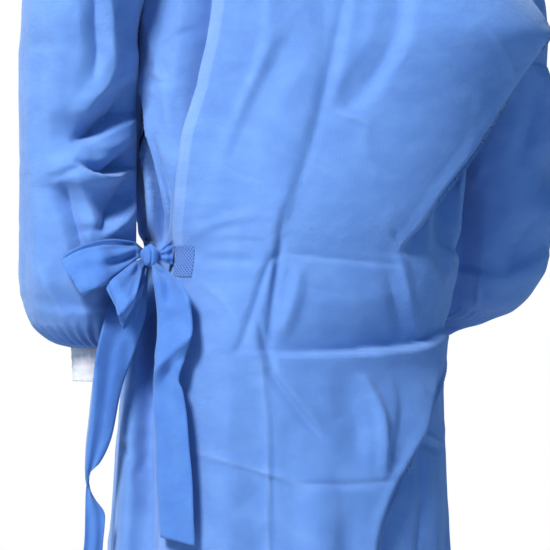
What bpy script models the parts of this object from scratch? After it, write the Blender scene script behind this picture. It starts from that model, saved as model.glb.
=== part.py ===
"""A disposable wrap-back surgical gown, held in its worn shape.

The gown faces -Y with +Z up. Its origin is the middle of the neck base, where the wearer's shoulders hold it.
Tables are in millimetres and degrees, and the objects are made in metres. A level is a height above the origin.
An angle goes round the body from the back centre: 90 is the wearer's left side, 180 the front centre.
"""

import bpy
import numpy as np

MM = 0.001
OBJECT_NAME = "surgical_gown"

CLOTH_WALL = 1.2
KNIT_WALL = 1.6
TIE_WALL = 1.0
SEAM_GAP = 0.7
UNDER_WRAP_DEPTH = 2.4
WELD_DISTANCE = 0.05

ARMPIT_LEVEL = -245.0
TIE_LEVEL = -481.0
SIDE_SEAM_ANGLE = 92.0
FRONT_DROP_POWER = 1.6

# The camera of the reference view stands behind the gown, towards the wearer's left.
VIEW_RIGHT = np.array((-0.940, 0.342, 0.0))
VIEW_TOWARD = np.array((0.342, 0.940, 0.0))
UP = np.array((0.0, 0.0, 1.0))
VIEW_DISTANCE = 3000.0
VIEW_AIM_ACROSS = -21.0
VIEW_AIM_LEVEL = -512.5

ROW_LEVELS = (
    15, 0, -25, -50, -75, -100, -135, -170, -208, -245,
    -285, -325, -365, -405, -445, -481, -520, -570, -630,
    -700, -780, -860, -950, -1040, -1145, -1250,
)

# Grid steps across each panel, from one of its lines to the next.
WRAP_STEPS = (5, 3, 4, 3, 4)
UNDER_SHOWN_STEPS = 9
FRONT_STEPS = 16
# The fold's root lies this far round from its crest, and never nearer to the seam than half of it.
DRAPE_ROOT_ANGLE = 8.0
DRAPE_SEAM_ANGLE = 14.0

# Plan sections of the body: an ellipse at each level. The front hangs lower by front_drop.
SECTION_COLUMNS = ("level", "centre_x", "half_width", "centre_y", "half_depth", "front_drop")
SECTIONS = (
    (15, 0, 74, 6, 66, 55),
    (0, 0, 96, 4, 76, 45),
    (-25, 0, 146, 0, 92, 32),
    (-50, 0, 188, -2, 106, 22),
    (-100, -2, 204, -2, 121, 10),
    (-170, -4, 204, 0, 130, 2),
    (-245, -8, 205, 0, 140, 0),
    (-360, -20, 212, 0, 150, 0),
    (-481, -17, 201, 0, 155, 0),
    (-620, 8, 206, 0, 158, 0),
    (-860, 17, 216, 0, 166, 0),
    (-1250, 22, 262, 0, 190, 0),
)

# Raglan seams run from the neck to the armpit. The sleeve's top line runs over the shoulder.
RAGLAN_COLUMNS = ("level", "back_angle", "front_angle", "top_x", "top_y", "top_z", "half_depth")
RAGLAN = (
    (15, 42, 132, 76, 4, -1, 52),
    (0, 46, 129, 104, 0, -4, 62),
    (-25, 51, 124, 152, -2, -14, 78),
    (-50, 56, 119, 204, -4, -32, 90),
    (-75, 61, 115, 254, -6, -56, 98),
    (-100, 66, 111, 296, -8, -88, 102),
    (-135, 72, 106, 327, -10, -127, 100),
    (-170, 79, 101, 340, -10, -167, 95),
    (-208, 86, 96, 343.5, -10, -206, 88),
    (-245, 92, 92, 345, -10, -245, 82),
)

# Sleeve sections below the armpit: ellipses round the arm. Each end is gathered into its cuff.
SLEEVE_COLUMNS = ("level", "centre_x", "centre_y", "half_width", "half_depth")
SLEEVE_LEFT = (
    (-290, 272.5, -14, 72, 76),
    (-340, 271, -18, 71.5, 74),
    (-400, 271, -20, 71, 74),
    (-460, 271, -22, 71.5, 75),
    (-510, 271, -24, 71, 76),
    (-545, 270.5, -25, 66, 72),
    (-572, 269, -26, 57, 63),
    (-590, 262, -26, 44, 49),
    (-598, 254, -26, 34.5, 36.5),
    (-601, 249, -26, 29.5, 29.5),
)
SLEEVE_RIGHT = (
    (-290, -300, -20, 72, 76),
    (-340, -306, -28, 72, 75),
    (-400, -312, -42, 72, 75),
    (-455, -315, -62, 72, 76),
    (-500, -316, -84, 70, 75),
    (-535, -313, -104, 63, 70),
    (-560, -305, -124, 54, 61),
    (-577, -284, -150, 43, 49),
    (-588, -262, -165, 35, 37),
    (-594, -256, -169, 31.5, 32.5),
    (-597, -254, -171, 30, 30),
)
SLEEVE_AROUND_COUNT = 14
CUFF_LENGTH = 42.0
CUFF_TUCK = 1.0
CUFF_TOP_RADIUS = 28.2
CUFF_END_RADIUS = 25.6
CUFF_ROWS = 3

# Lines that run down the wrap: angle at each level. drape follows the crests of the two big overhanging folds.
EDGE_COLUMNS = ("level", "wrap_edge", "ridge", "under_edge", "drape")
EDGES = (
    (15, 36, 2, -18, -28),
    (-50, 40, 4, -14, -44),
    (-170, 43, 5, -11, -52),
    (-226, 46.8, 8, -9, -51),
    (-301, 54, 14, -6, -48),
    (-375, 55.5, 21, -4, -38),
    (-422, 60, 25, -3, -27),
    (-481, 68.5, 30, -2, -20),
    (-543, 70, 30, -2, -38),
    (-608, 67, 30, -2, -56),
    (-721, 62, 28, -1, -30),
    (-839, 59, 26, 0, -12),
    (-1250, 56, 26, 7, -3),
)

# The largest folds. Each pulls cloth round the body by shift, so that its crest lies at angle, and out by out.
# left_reach and right_reach say how far the pull fades to each side, seen from the back.
FOLD_COLUMNS = ("level", "angle", "shift", "out")
FOLDS = {
    "shoulder_drape": (58, 8, (
        (-80, -60, 0, 0), (-100, -62, -3, 5), (-135, -64, -9, 33), (-170, -66, -14, 106), (-212, -67, -15, 126),
        (-250, -64, -14, 100), (-294, -60, -12, 66), (-355, -50, -9, 34), (-421, -34, -7, 16), (-450, -27, -5, 10),
        (-486, -18, 0, 0),
    )),
    "under_drape": (12, 14, (
        (-220, -90, 0, 0), (-270, -82, 0, -6), (-355, -66, 0, -16), (-420, -52, 0, -16), (-520, -45, 0, 0),
    )),
    "left_overhang": (9, 26, (
        (-60, 92, 0, 0), (-195, 92, 1, 3), (-251, 90, 3, 7), (-301, 81, 6, 14), (-346, 76, 8, 17),
        (-389, 72, 7, 15), (-438, 70.5, 4, 10), (-485, 72.5, 0, 0),
    )),
    "side_fold_valley": (7, 7, (
        (-240, 97, 0, 0), (-301, 90, 0, -10), (-346, 85.5, 0, -17), (-389, 82, 0, -19), (-438, 80, 0, -17),
        (-475, 79, 0, -11), (-545, 79, 0, -14), (-605, 75, 0, -16), (-686, 69, 0, -13), (-850, 65, 0, -6),
        (-1000, 63, 0, 0),
    )),
    "side_front_slack": (15, 15, (
        (-250, 114, 0, 0), (-325, 114, 0, 16), (-375, 114, 0, 22), (-410, 113, 0, 14), (-444, 112, 0, 0),
    )),
    "side_fold_ridge": (14, 8, (
        (-260, 100, 0, 0), (-360, 97, 0, 1), (-430, 87, 0, 3), (-481, 86, 0, -3), (-540, 88, 0, 1),
        (-640, 84, 0, 8), (-723, 79, 0, 12), (-900, 76, 0, 14), (-1250, 74, 0, 18),
    )),
    "centre_ridge": (30, 8, (
        (-90, 1, 0, 0), (-183, 3.5, -1, 8), (-261, 10.5, -1, 11), (-323, 16.5, -1, 12), (-364, 21, -2, 13),
        (-413, 25.5, -2, 14), (-457, 29.5, -2, 13), (-489, 30.5, -1, 10), (-577, 28, 0, 5), (-640, 27, 0, 0),
    )),
    "hip_overhang": (34, 8, (
        (-560, -60, 0, 0), (-621, -60, -3, 6), (-665, -46, -5, 10), (-704, -37, -6, 12), (-765, -26, -6, 12),
        (-825, -17, -5, 12), (-1000, -9, -3, 10), (-1250, -4, 0, 12),
    )),
    "right_side_pleat": (9, 9, (
        (-620, -80, 0, 0), (-760, -76, 0, 3), (-900, -72, 0, 7), (-1250, -66, 0, 24),
    )),
    "hem_flute_left_back": (12, 12, (
        (-700, 40, 0, 0), (-900, 38, 0, 6), (-1250, 36, 0, 20),
    )),
    "hem_flute_left_front": (14, 14, (
        (-560, 128, 0, 0), (-800, 126, 0, 14), (-1250, 124, 0, 30),
    )),
    "hem_flute_front": (15, 15, (
        (-300, 168, 0, 0), (-560, 170, 0, 10), (-900, 171, 0, 20), (-1250, 172, 0, 30),
    )),
    "hem_flute_right_front": (15, 13, (
        (-420, 214, 0, 0), (-640, 216, 0, 12), (-900, 218, 0, 20), (-1250, 220, 0, 30),
    )),
    "front_left_drag": (16, 12, (
        (-130, 140, 0, 0), (-250, 142, 0, 10), (-400, 138, 0, 12), (-481, 134, 0, 3), (-560, 132, 0, 0),
    )),
    "front_right_drag": (12, 16, (
        (-150, 222, 0, 0), (-290, 224, 0, 11), (-420, 226, 0, 9), (-540, 228, 0, 0),
    )),
}

# The largest sleeve folds: level, angle, reach along the sleeve, reach round it, and height.
# The angle goes round the sleeve from its inner line over the front, outside and back.
SLEEVE_FOLDS = {
    "left": (
        (-345, 262, 30, 55, -13),
        (-388, 258, 22, 60, 9),
        (-425, 270, 26, 50, -12),
        (-500, 300, 60, 26, -7),
        (-520, 215, 50, 24, 5),
        (-300, 120, 40, 50, -8),
        (-430, 110, 40, 60, -10),
        (-385, 60, 25, 60, 8),
    ),
    "right": (
        (-375, 225, 35, 60, -11),
        (-430, 240, 28, 60, 9),
        (-480, 250, 30, 60, -8),
        (-310, 120, 40, 50, -8),
        (-430, 100, 40, 60, -10),
        (-385, 60, 25, 60, 8),
    ),
}

# The ties' paths in the reference view: across to its right, level, and toward the viewer.
# The width's direction is turned from straight up by roll, then about the upright by yaw, and gathered to width.
RIBBON_COLUMNS = ("across", "level", "toward", "roll", "yaw", "width")
RIBBONS = {
    "tie_loop_upper": (
        (-193, -484, 124, 6, 0, 15), (-214, -493, 138, 8, 0, 34), (-236, -500, 160, 12, 0, 47),
        (-258, -507, 168, 24, 0, 50), (-275, -517, 166, 34, 0, 50), (-273, -511, 157, 32, 0, 50),
        (-255, -499, 151, 20, 0, 48), (-224, -486, 134, 8, 0, 36), (-193, -479, 116, 2, 0, 15),
    ),
    "tie_loop_lower": (
        (-191, -499, 127, 40, 0, 12), (-201, -516, 152, 44, 0, 26), (-211, -534, 168, 40, 0, 40),
        (-220, -548, 170, 28, 0, 46), (-218, -557, 162, 20, 0, 46), (-207, -550, 152, 18, 0, 42),
        (-197, -530, 140, 28, 0, 30), (-187, -509, 124, 36, 0, 13),
    ),
    "tie_tail_left": (
        (-187, -508, 116, 62, 0, 15), (-196, -532, 124, 70, 0, 30), (-207, -562, 130, 78, 0, 46),
        (-218, -602, 134, 85, 0, 44), (-231, -655, 134, 86, 0, 34), (-240, -712, 134, 90, 0, 30),
        (-249, -752, 134, 120, 0, 20), (-254, -766, 134, 160, 0, 14), (-252, -782, 134, 205, 0, 18),
        (-246, -812, 134, 258, 0, 24), (-248, -850, 133, 268, 0, 22), (-256, -900, 131, 276, 0, 30),
    ),
    "tie_tail_right": (
        (-168, -503, 127, 80, 10, 14), (-158, -520, 148, 96, 14, 31), (-148, -547, 158, 98, 20, 44),
        (-146, -580, 161, 90, 24, 46), (-152, -612, 163, 80, 24, 40), (-156, -634, 165, 60, 20, 36),
        (-154, -660, 167, 84, 24, 40), (-150, -715, 171, 88, 28, 46), (-146, -790, 174, 88, 28, 50),
        (-143, -846, 176, 80, 28, 48),
    ),
    "tie_back_run": (
        (-149, -484, 115, 0, 0, 30), (-157, -486, 118, 0, 0, 22), (-164.5, -488, 117, 0, 0, 13),
    ),
}
# Rows of each strip that lie on the knot.
KNOT_ROWS = {
    "tie_loop_upper": (0, -1), "tie_loop_lower": (0, -1), "tie_tail_left": (0,), "tie_tail_right": (0,),
    "tie_back_run": (-1,),
}
# The other tie's stretch along the body, from its weld to where it leaves for the knot: angle and half height.
FRONT_RUN_LIFT = 3.4
FRONT_RUN = ((131.0, 23.0), (120.0, 19.0), (108.0, 15.0), (97.0, 11.0), (87.0, 9.0))
FRONT_RUN_END = (-181.0, -489.0, 104.0)
FRONT_RUN_END_HALF_HEIGHT = 6.5
RIBBON_STEPS = 3
RIBBON_ACROSS_STEPS = 2
KNOT_CENTRE = (-178.0, -489.0, 120.0)
KNOT_HALF_SIZE = (11.5, 15.0, 9.5)
KNOT_CLEARANCE = 0.45
KNOT_SEGMENTS = 16
KNOT_RINGS = 8

# Weld patches on the panels: angle and level at the middle, half height, half width round the body.
WELD_LIFT = 1.9
WELDS = {
    "tie_weld_back": (63.4, -496, 19, 14),
    "tie_weld_front": (138.0, -481, 25, 16),
}

NECK_BAND_HEIGHT = 11.0
NECK_BAND_START = 36.0
NECK_BAND_TURN = 352.0
NECK_BAND_COUNT = 29
TAB_LEVEL = -18.0
TAB_HALF_HEIGHT = 10.0
TAB_ANGLES = (18.0, 42.0)
TAB_COUNT = 4

COLOURS = {
    "cloth": (0.090, 0.270, 0.760, 1.0),
    "tie": (0.060, 0.230, 0.700, 1.0),
    "knit": (0.830, 0.825, 0.840, 1.0),
}
FINISH = {"cloth": 0.62, "tie": 0.58, "knit": 0.92}


def table(columns, rows):
    """The rows as one array for each named column, sorted by rising level."""
    ordered = sorted(rows, key=lambda row: row[0])
    return dict(zip(columns, np.array(ordered, dtype=float).T))


def smooth(x, knots, values, outside=None):
    """A curve through the knots that doesn't overshoot: monotone cubic pieces."""
    x = np.asarray(x, dtype=float)
    steps = np.diff(knots)
    slopes = np.diff(values) / steps
    tangents = np.zeros(len(knots))
    same_way = slopes[:-1] * slopes[1:] > 0
    product = np.where(same_way, slopes[:-1] * slopes[1:], 0.0)
    total = np.where(same_way, slopes[:-1] + slopes[1:], 1.0)
    tangents[1:-1] = 2.0 * product / total
    tangents[0] = slopes[0]
    tangents[-1] = slopes[-1]
    held = np.clip(x, knots[0], knots[-1])
    index = np.clip(np.searchsorted(knots, held, side="right") - 1, 0, len(steps) - 1)
    t = (held - knots[index]) / steps[index]
    result = (
        (2 * t**3 - 3 * t**2 + 1) * values[index]
        + (t**3 - 2 * t**2 + t) * steps[index] * tangents[index]
        + (3 * t**2 - 2 * t**3) * values[index + 1]
        + (t**3 - t**2) * steps[index] * tangents[index + 1]
    )
    if outside is None:
        return result
    return np.where((x < knots[0]) | (x > knots[-1]), outside, result)


SECTION = table(SECTION_COLUMNS, SECTIONS)
RAGLAN_LINE = table(RAGLAN_COLUMNS, RAGLAN)
EDGE = table(EDGE_COLUMNS, EDGES)
FOLD_PATHS = {name: table(FOLD_COLUMNS, fold[2]) for name, fold in FOLDS.items()}


def at(source, column, level):
    """A table's column at a level."""
    return smooth(level, source["level"], source[column])


def fold_profile(offset, left_reach, right_reach):
    """1 at a fold's crest and 0 past its reach: a ridge with soft feet."""
    reach = np.where(offset > 0, left_reach, right_reach)
    near = np.clip(1.0 - np.abs(offset) / reach, 0.0, 1.0)
    return near**1.5 * (2.5 - 1.5 * near)


def section_point(angle, level, out):
    """A point out from the body's ellipse, in millimetres."""
    radians = np.radians(angle)
    half_width = at(SECTION, "half_width", level)
    half_depth = at(SECTION, "half_depth", level)
    normal_x = np.sin(radians) / half_width
    normal_y = np.cos(radians) / half_depth
    length = np.hypot(normal_x, normal_y)
    front = (1.0 - np.cos(radians)) / 2.0
    x = at(SECTION, "centre_x", level) + half_width * np.sin(radians) + out * normal_x / length
    y = at(SECTION, "centre_y", level) + half_depth * np.cos(radians) + out * normal_y / length
    z = level - at(SECTION, "front_drop", level) * front**FRONT_DROP_POWER
    return np.stack((x, y, z), axis=-1)


def body_point(angle, level, out=0.0):
    """A point of the body's cloth, with its folds."""
    angle, level = np.broadcast_arrays(np.asarray(angle, float), np.asarray(level, float))
    shift = np.zeros(angle.shape)
    lift = np.zeros(angle.shape) + out
    for name, (left_reach, right_reach, _) in FOLDS.items():
        path = FOLD_PATHS[name]
        crest = smooth(level, path["level"], path["angle"])
        pull = smooth(level, path["level"], path["shift"])
        height = smooth(level, path["level"], path["out"])
        offset = (angle - (crest - pull) + 180.0) % 360.0 - 180.0
        profile = fold_profile(offset, left_reach, right_reach)
        shift = shift + pull * profile
        lift = lift + height * profile
    return section_point(angle + shift, level, lift)


def between(stations, counts):
    """Columns for each row: counts[i] steps from one station to the next."""
    columns = [stations[0][:, None]]
    for start, end, count in zip(stations[:-1], stations[1:], counts):
        steps = np.arange(1, count + 1) / count
        columns.append(start[:, None] + (end - start)[:, None] * steps)
    return np.concatenate(columns, axis=1)


def back_limit(level, side):
    """The back panels' outer edge: the raglan seam, then the side seam, less half a seam gap."""
    angle = np.where(level > ARMPIT_LEVEL, at(RAGLAN_LINE, "back_angle", level), SIDE_SEAM_ANGLE)
    return side * (angle - seam_angle(level))


def front_limit(level, side):
    """The front panel's edge, measured the same way round as the back's."""
    angle = np.where(level > ARMPIT_LEVEL, at(RAGLAN_LINE, "front_angle", level), SIDE_SEAM_ANGLE)
    return side * (angle + seam_angle(level))


def seam_angle(level):
    """Half a seam gap as an angle round the body."""
    return np.degrees(SEAM_GAP / 2.0 / at(SECTION, "half_depth", level))


def grid_faces(rows, columns):
    """Quads of a grid, row by row."""
    starts = [row * columns + column for row in range(rows - 1) for column in range(columns - 1)]
    return [[start, start + columns, start + columns + 1, start + 1] for start in starts]


def material(kind):
    """The Principled material of one kind of cloth, made once."""
    found = bpy.data.materials.get(kind)
    if found:
        return found
    made = bpy.data.materials.new(kind)
    made.use_nodes = True
    shader = made.node_tree.nodes["Principled BSDF"]
    shader.inputs["Base Color"].default_value = COLOURS[kind]
    shader.inputs["Roughness"].default_value = FINISH[kind]
    shader.inputs["Metallic"].default_value = 0.0
    return made


def sheet(name, points, wall, kind, flip=False, weld=False):
    """An open grid of cloth, thickened inwards by Solidify. Points are rows by columns, in millimetres."""
    rows, columns = points.shape[:2]
    faces = grid_faces(rows, columns)
    if flip:
        faces = [face[::-1] for face in faces]
    mesh = bpy.data.meshes.new(name)
    mesh.from_pydata((points.reshape(-1, 3) * MM).tolist(), [], faces)
    mesh.update()
    mesh.shade_smooth()
    made = bpy.data.objects.new(name, mesh)
    made.data.materials.append(material(kind))
    bpy.data.collections[OBJECT_NAME].objects.link(made)
    if weld:
        joiner = made.modifiers.new("closed_tube", "WELD")
        joiner.merge_threshold = WELD_DISTANCE * MM
    solid = made.modifiers.new("cloth_wall", "SOLIDIFY")
    solid.thickness = wall * MM
    solid.offset = -1.0
    return made


def make_back_right(levels):
    """The wrap panel, from its free edge over the back to the right side seam."""
    angles = between(wrap_stations(levels), WRAP_STEPS)
    return sheet("back_right", body_point(angles, levels[:, None]), CLOTH_WALL, "cloth")


def wrap_stations(levels):
    """Columns of the wrap: free edge, ridge, the under panel's hidden edge, the big folds' crest and root, seam."""
    seam = back_limit(levels, -1)
    crest = np.maximum(at(EDGE, "drape", levels), seam + DRAPE_SEAM_ANGLE)
    root = np.maximum(crest - DRAPE_ROOT_ANGLE, seam + DRAPE_SEAM_ANGLE / 2.0)
    edge, ridge, under = (at(EDGE, column, levels) for column in ("wrap_edge", "ridge", "under_edge"))
    return edge, ridge, under, crest, root, seam


def make_back_left(levels):
    """The under panel. Beneath the wrap it has the wrap's own columns, moved in."""
    edge = at(EDGE, "wrap_edge", levels)
    seam = back_limit(levels, 1)
    outer = between((seam, edge), (UNDER_SHOWN_STEPS,))
    hidden = between(wrap_stations(levels)[:3], WRAP_STEPS[:2])[:, 1:]
    angles = np.concatenate((outer, hidden), axis=1)
    depth = UNDER_WRAP_DEPTH * np.clip((seam[:, None] - angles) / (seam - edge)[:, None], 0.0, 1.0) ** 0.5
    return sheet("back_left", body_point(angles, levels[:, None], -depth), CLOTH_WALL, "cloth")


def make_front(levels):
    """The front panel, from the left side round to the right side."""
    angles = between((front_limit(levels, 1), 360.0 + front_limit(levels, -1)), (FRONT_STEPS,))
    return sheet("front", body_point(angles, levels[:, None]), CLOTH_WALL, "cloth", flip=True)


def sleeve_ring(front, back, top, half_depth, count):
    """An arc from the front seam over the outside to the back seam, or a full ring where the two meet."""
    middle = (front + back) / 2.0
    chord = back - front
    half_chord = np.linalg.norm(chord) / 2.0
    depth_way = chord / (2.0 * half_chord) if half_chord > 1.0 else np.array((0.0, 1.0, 0.0))
    opening = np.arccos(min(half_chord / half_depth, 1.0))
    rise = top - middle
    half_rise = rise / (1.0 + np.sin(opening))
    centre = middle + half_rise * np.sin(opening)
    around = -opening + np.linspace(0.0, 1.0, count + 1) * (np.pi + 2.0 * opening)
    return centre - half_depth * np.cos(around)[:, None] * depth_way + np.sin(around)[:, None] * half_rise


def sleeve_points(side, rows, count):
    """The sleeve from the neck to its gathered end, row by row."""
    points = []
    for level in [level for level in ROW_LEVELS if level >= ARMPIT_LEVEL]:
        gap = 2.0 * seam_angle(level)
        front = body_point(side * (at(RAGLAN_LINE, "front_angle", level) - gap / 2.0), level)
        back = body_point(side * (at(RAGLAN_LINE, "back_angle", level) + gap / 2.0), level)
        if level == ARMPIT_LEVEL:
            front = back = body_point(side * SIDE_SEAM_ANGLE, level) + (side * SEAM_GAP, 0.0, 0.0)
        top = np.array([at(RAGLAN_LINE, axis, level) for axis in ("top_x", "top_y", "top_z")])
        top[0] *= side
        points.append(sleeve_ring(front, back, top, at(RAGLAN_LINE, "half_depth", level), count))
    for level, centre_x, centre_y, half_width, half_depth in rows:
        inner = np.array((centre_x - side * half_width, centre_y, level))
        outer = np.array((centre_x + side * half_width, centre_y, level))
        points.append(sleeve_ring(inner, inner, outer, half_depth, count))
    return np.array(points)


def crease_sleeve(points, folds):
    """The sleeve's large folds, as dents and ridges towards or away from its axis."""
    count = points.shape[1] - 1
    around = np.linspace(0.0, 360.0, count + 1)
    centres = points[:, :-1].mean(axis=1)[:, None]
    level = centres[..., 2]
    outward = points - centres
    outward[..., 2] = 0.0
    outward /= np.maximum(np.linalg.norm(outward, axis=-1), 1.0)[..., None]
    lift = np.zeros(points.shape[:2])
    for fold_level, fold_around, level_reach, around_reach, out in folds:
        down = fold_profile(level - fold_level, level_reach, level_reach)
        across = fold_profile((around - fold_around + 180.0) % 360.0 - 180.0, around_reach, around_reach)
        lift = lift + out * down * across
    lift[:, -1] = lift[:, 0]
    return points + outward * lift[..., None]


def make_sleeve(name, side, rows, folds):
    """One raglan sleeve, closed below the armpit."""
    points = crease_sleeve(sleeve_points(side, rows, SLEEVE_AROUND_COUNT), folds)
    return sheet(name, points, CLOTH_WALL, "cloth", flip=side < 0, weld=True)


def make_cuff(name, side, sleeve_end):
    """A knitted tube whose top lies just inside the sleeve's gathered end."""
    end_level, centre_x, centre_y = sleeve_end[:3]
    around = np.linspace(-np.pi / 2.0, 1.5 * np.pi, SLEEVE_AROUND_COUNT + 1)
    points = []
    for step in np.linspace(0.0, 1.0, CUFF_ROWS + 1):
        radius = CUFF_TOP_RADIUS + (CUFF_END_RADIUS - CUFF_TOP_RADIUS) * step
        x = centre_x + side * radius * np.sin(around)
        y = centre_y - radius * np.cos(around)
        level = end_level + CUFF_TUCK - CUFF_LENGTH * step
        points.append(np.stack((x, y, np.full(x.shape, level)), axis=-1))
    return sheet(name, np.array(points), KNIT_WALL, "knit", flip=side < 0, weld=True)


def view_point(across, level, toward):
    """The point that the reference view sees at this place across and up the upright plane through the origin."""
    across, level, toward = np.broadcast_arrays(across, level, toward)
    nearer = 1.0 - toward / VIEW_DISTANCE
    true_across = VIEW_AIM_ACROSS + (across - VIEW_AIM_ACROSS) * nearer
    true_level = VIEW_AIM_LEVEL + (level - VIEW_AIM_LEVEL) * nearer
    return (
        np.multiply.outer(true_across, VIEW_RIGHT)
        + np.multiply.outer(toward, VIEW_TOWARD)
        + np.multiply.outer(true_level, UP)
    )


def make_ribbon(name, rows):
    """A strip of tie along its path."""
    columns = dict(zip(RIBBON_COLUMNS, np.array(rows, dtype=float).T))
    knots = np.arange(len(rows), dtype=float)
    t = np.linspace(0.0, len(rows) - 1.0, RIBBON_STEPS * (len(rows) - 1) // 2 + 1)
    path = {column: smooth(t, knots, columns[column]) for column in RIBBON_COLUMNS}
    middle = view_point(path["across"], path["level"], path["toward"])
    roll = np.radians(path["roll"])[:, None]
    yaw = np.radians(path["yaw"])[:, None]
    width_way = np.cos(roll) * UP - np.sin(roll) * (np.cos(yaw) * VIEW_RIGHT + np.sin(yaw) * VIEW_TOWARD)
    places = np.linspace(-0.5, 0.5, RIBBON_ACROSS_STEPS + 1)
    points = middle[:, None] + width_way[:, None] * (path["width"][:, None] * places)[..., None]
    for row in KNOT_ROWS[name]:
        points[row] = on_knot(points[row])
    return sheet(name, points, TIE_WALL, "tie")


def on_knot(points):
    """The points drawn in to the knot's surface, just clear of it."""
    axes = np.array((VIEW_RIGHT, UP, VIEW_TOWARD))
    half_size = np.array(KNOT_HALF_SIZE)
    away = (points - view_point(*KNOT_CENTRE)) @ axes.T
    reach = np.linalg.norm(away / half_size, axis=-1, keepdims=True)
    clear = 1.0 + KNOT_CLEARANCE / half_size.min()
    return view_point(*KNOT_CENTRE) + (away / reach * clear) @ axes


def make_front_run():
    """The front tie's stretch from its weld round the side to the knot."""
    angles, half_heights = np.array(FRONT_RUN).T
    rows = np.array((1.0, 0.0, -1.0))
    levels = TIE_LEVEL + rows[:, None] * half_heights
    on_body = body_point(angles[None, :], levels, FRONT_RUN_LIFT)
    across, level, toward = FRONT_RUN_END
    ends = on_knot(view_point(across, level + rows * FRONT_RUN_END_HALF_HEIGHT, toward))
    points = np.concatenate((on_body, ends[:, None]), axis=1)
    return sheet("tie_front_run", points, TIE_WALL, "tie")


def make_knot():
    """The wrapped cloth of the bow's knot, as one rounded lump."""
    bpy.ops.mesh.primitive_uv_sphere_add(segments=KNOT_SEGMENTS, ring_count=KNOT_RINGS, radius=1.0)
    knot = bpy.context.active_object
    knot.name = "tie_knot"
    half_across, half_height, half_toward = KNOT_HALF_SIZE
    centre = view_point(*KNOT_CENTRE)
    for vertex in knot.data.vertices:
        x, y, z = vertex.co
        place = centre + x * half_across * VIEW_RIGHT + y * half_toward * VIEW_TOWARD + z * half_height * UP
        vertex.co = place * MM
    knot.data.flip_normals()
    knot.data.shade_smooth()
    knot.data.materials.append(material("tie"))
    move_to_object(knot)


def move_to_object(made):
    """Puts a primitive into the gown's collection."""
    for holder in list(made.users_collection):
        holder.objects.unlink(made)
    bpy.data.collections[OBJECT_NAME].objects.link(made)


def make_weld(name, angle, level, half_height, half_width):
    """A tie's welded end, made from the panel's own surface moved out."""
    radius = at(SECTION, "half_depth", level)
    half_angle = np.degrees(half_width / radius)
    angles = angle + np.array((half_angle, 0.0, -half_angle))
    levels = level + np.array((half_height, 0.0, -half_height))
    points = body_point(angles[None, :], levels[:, None], WELD_LIFT + TIE_WALL)
    return sheet(name, points, TIE_WALL, "tie")


def make_neck_band():
    """The bound neck edge, a narrow standing band just above the panels."""
    angles = np.linspace(NECK_BAND_START, NECK_BAND_START + NECK_BAND_TURN, NECK_BAND_COUNT)
    top = body_point(angles, float(ROW_LEVELS[0]))
    rise = np.array((SEAM_GAP, NECK_BAND_HEIGHT / 2.0, NECK_BAND_HEIGHT))
    points = top[None, :] + rise[:, None, None] * UP
    return sheet("neck_binding", points, CLOTH_WALL, "cloth")


def make_neck_tab():
    """The hook-and-loop tab on the wrap's neck corner."""
    angles = np.linspace(TAB_ANGLES[1], TAB_ANGLES[0], TAB_COUNT)
    levels = TAB_LEVEL + np.array((TAB_HALF_HEIGHT, 0.0, -TAB_HALF_HEIGHT))
    points = body_point(angles[None, :], levels[:, None], WELD_LIFT + TIE_WALL)
    return sheet("neck_tab", points, TIE_WALL, "cloth")


def empty_scene():
    for thing in list(bpy.data.objects):
        bpy.data.objects.remove(thing, do_unlink=True)


def main():
    empty_scene()
    collection = bpy.data.collections.new(OBJECT_NAME)
    bpy.context.scene.collection.children.link(collection)
    levels = np.array(ROW_LEVELS, dtype=float)
    make_front(levels)
    make_back_left(levels)
    make_back_right(levels)
    make_sleeve("sleeve_left", 1, SLEEVE_LEFT, SLEEVE_FOLDS["left"])
    make_sleeve("sleeve_right", -1, SLEEVE_RIGHT, SLEEVE_FOLDS["right"])
    make_cuff("cuff_left", 1, SLEEVE_LEFT[-1])
    make_cuff("cuff_right", -1, SLEEVE_RIGHT[-1])
    make_neck_band()
    make_neck_tab()
    for name, place in WELDS.items():
        make_weld(name, *place)
    for name, rows in RIBBONS.items():
        make_ribbon(name, rows)
    make_front_run()
    make_knot()


main()
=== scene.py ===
"""The looks of a worn disposable surgical gown: fine cloth shells on the CAD part, their materials, and the light.

The gown faces -Y with +Z up, and its origin is the middle of the neck base. Tables are in millimetres and degrees.
A level is a height above the origin. An angle goes round the body from the back centre: 90 is the wearer's left
side, 180 the front centre. Across is how far a place lies to the right in the reference view, which stands behind
the gown, towards the wearer's left.
"""

import bpy
import numpy as np
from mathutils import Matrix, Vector

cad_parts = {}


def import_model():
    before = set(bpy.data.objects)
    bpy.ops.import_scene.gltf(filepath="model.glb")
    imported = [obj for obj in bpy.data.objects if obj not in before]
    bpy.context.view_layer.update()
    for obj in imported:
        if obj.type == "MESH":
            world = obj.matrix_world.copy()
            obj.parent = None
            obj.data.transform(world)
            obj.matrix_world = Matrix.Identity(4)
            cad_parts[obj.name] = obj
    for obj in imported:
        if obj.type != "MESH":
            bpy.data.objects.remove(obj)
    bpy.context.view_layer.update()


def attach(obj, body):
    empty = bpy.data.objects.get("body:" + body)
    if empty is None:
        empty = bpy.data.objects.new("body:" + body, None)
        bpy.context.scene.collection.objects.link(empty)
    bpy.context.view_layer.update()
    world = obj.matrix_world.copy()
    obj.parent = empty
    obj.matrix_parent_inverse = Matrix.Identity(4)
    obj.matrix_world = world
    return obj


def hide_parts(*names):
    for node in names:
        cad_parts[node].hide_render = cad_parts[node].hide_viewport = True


MM = 0.001

CLOTH_THICKNESS = 0.5
TIE_THICKNESS = 0.45
KNIT_THICKNESS = 1.3
SEAM_GAP = 0.7
UNDER_WRAP_DEPTH = 2.4
WELD_DISTANCE = 0.05

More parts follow.
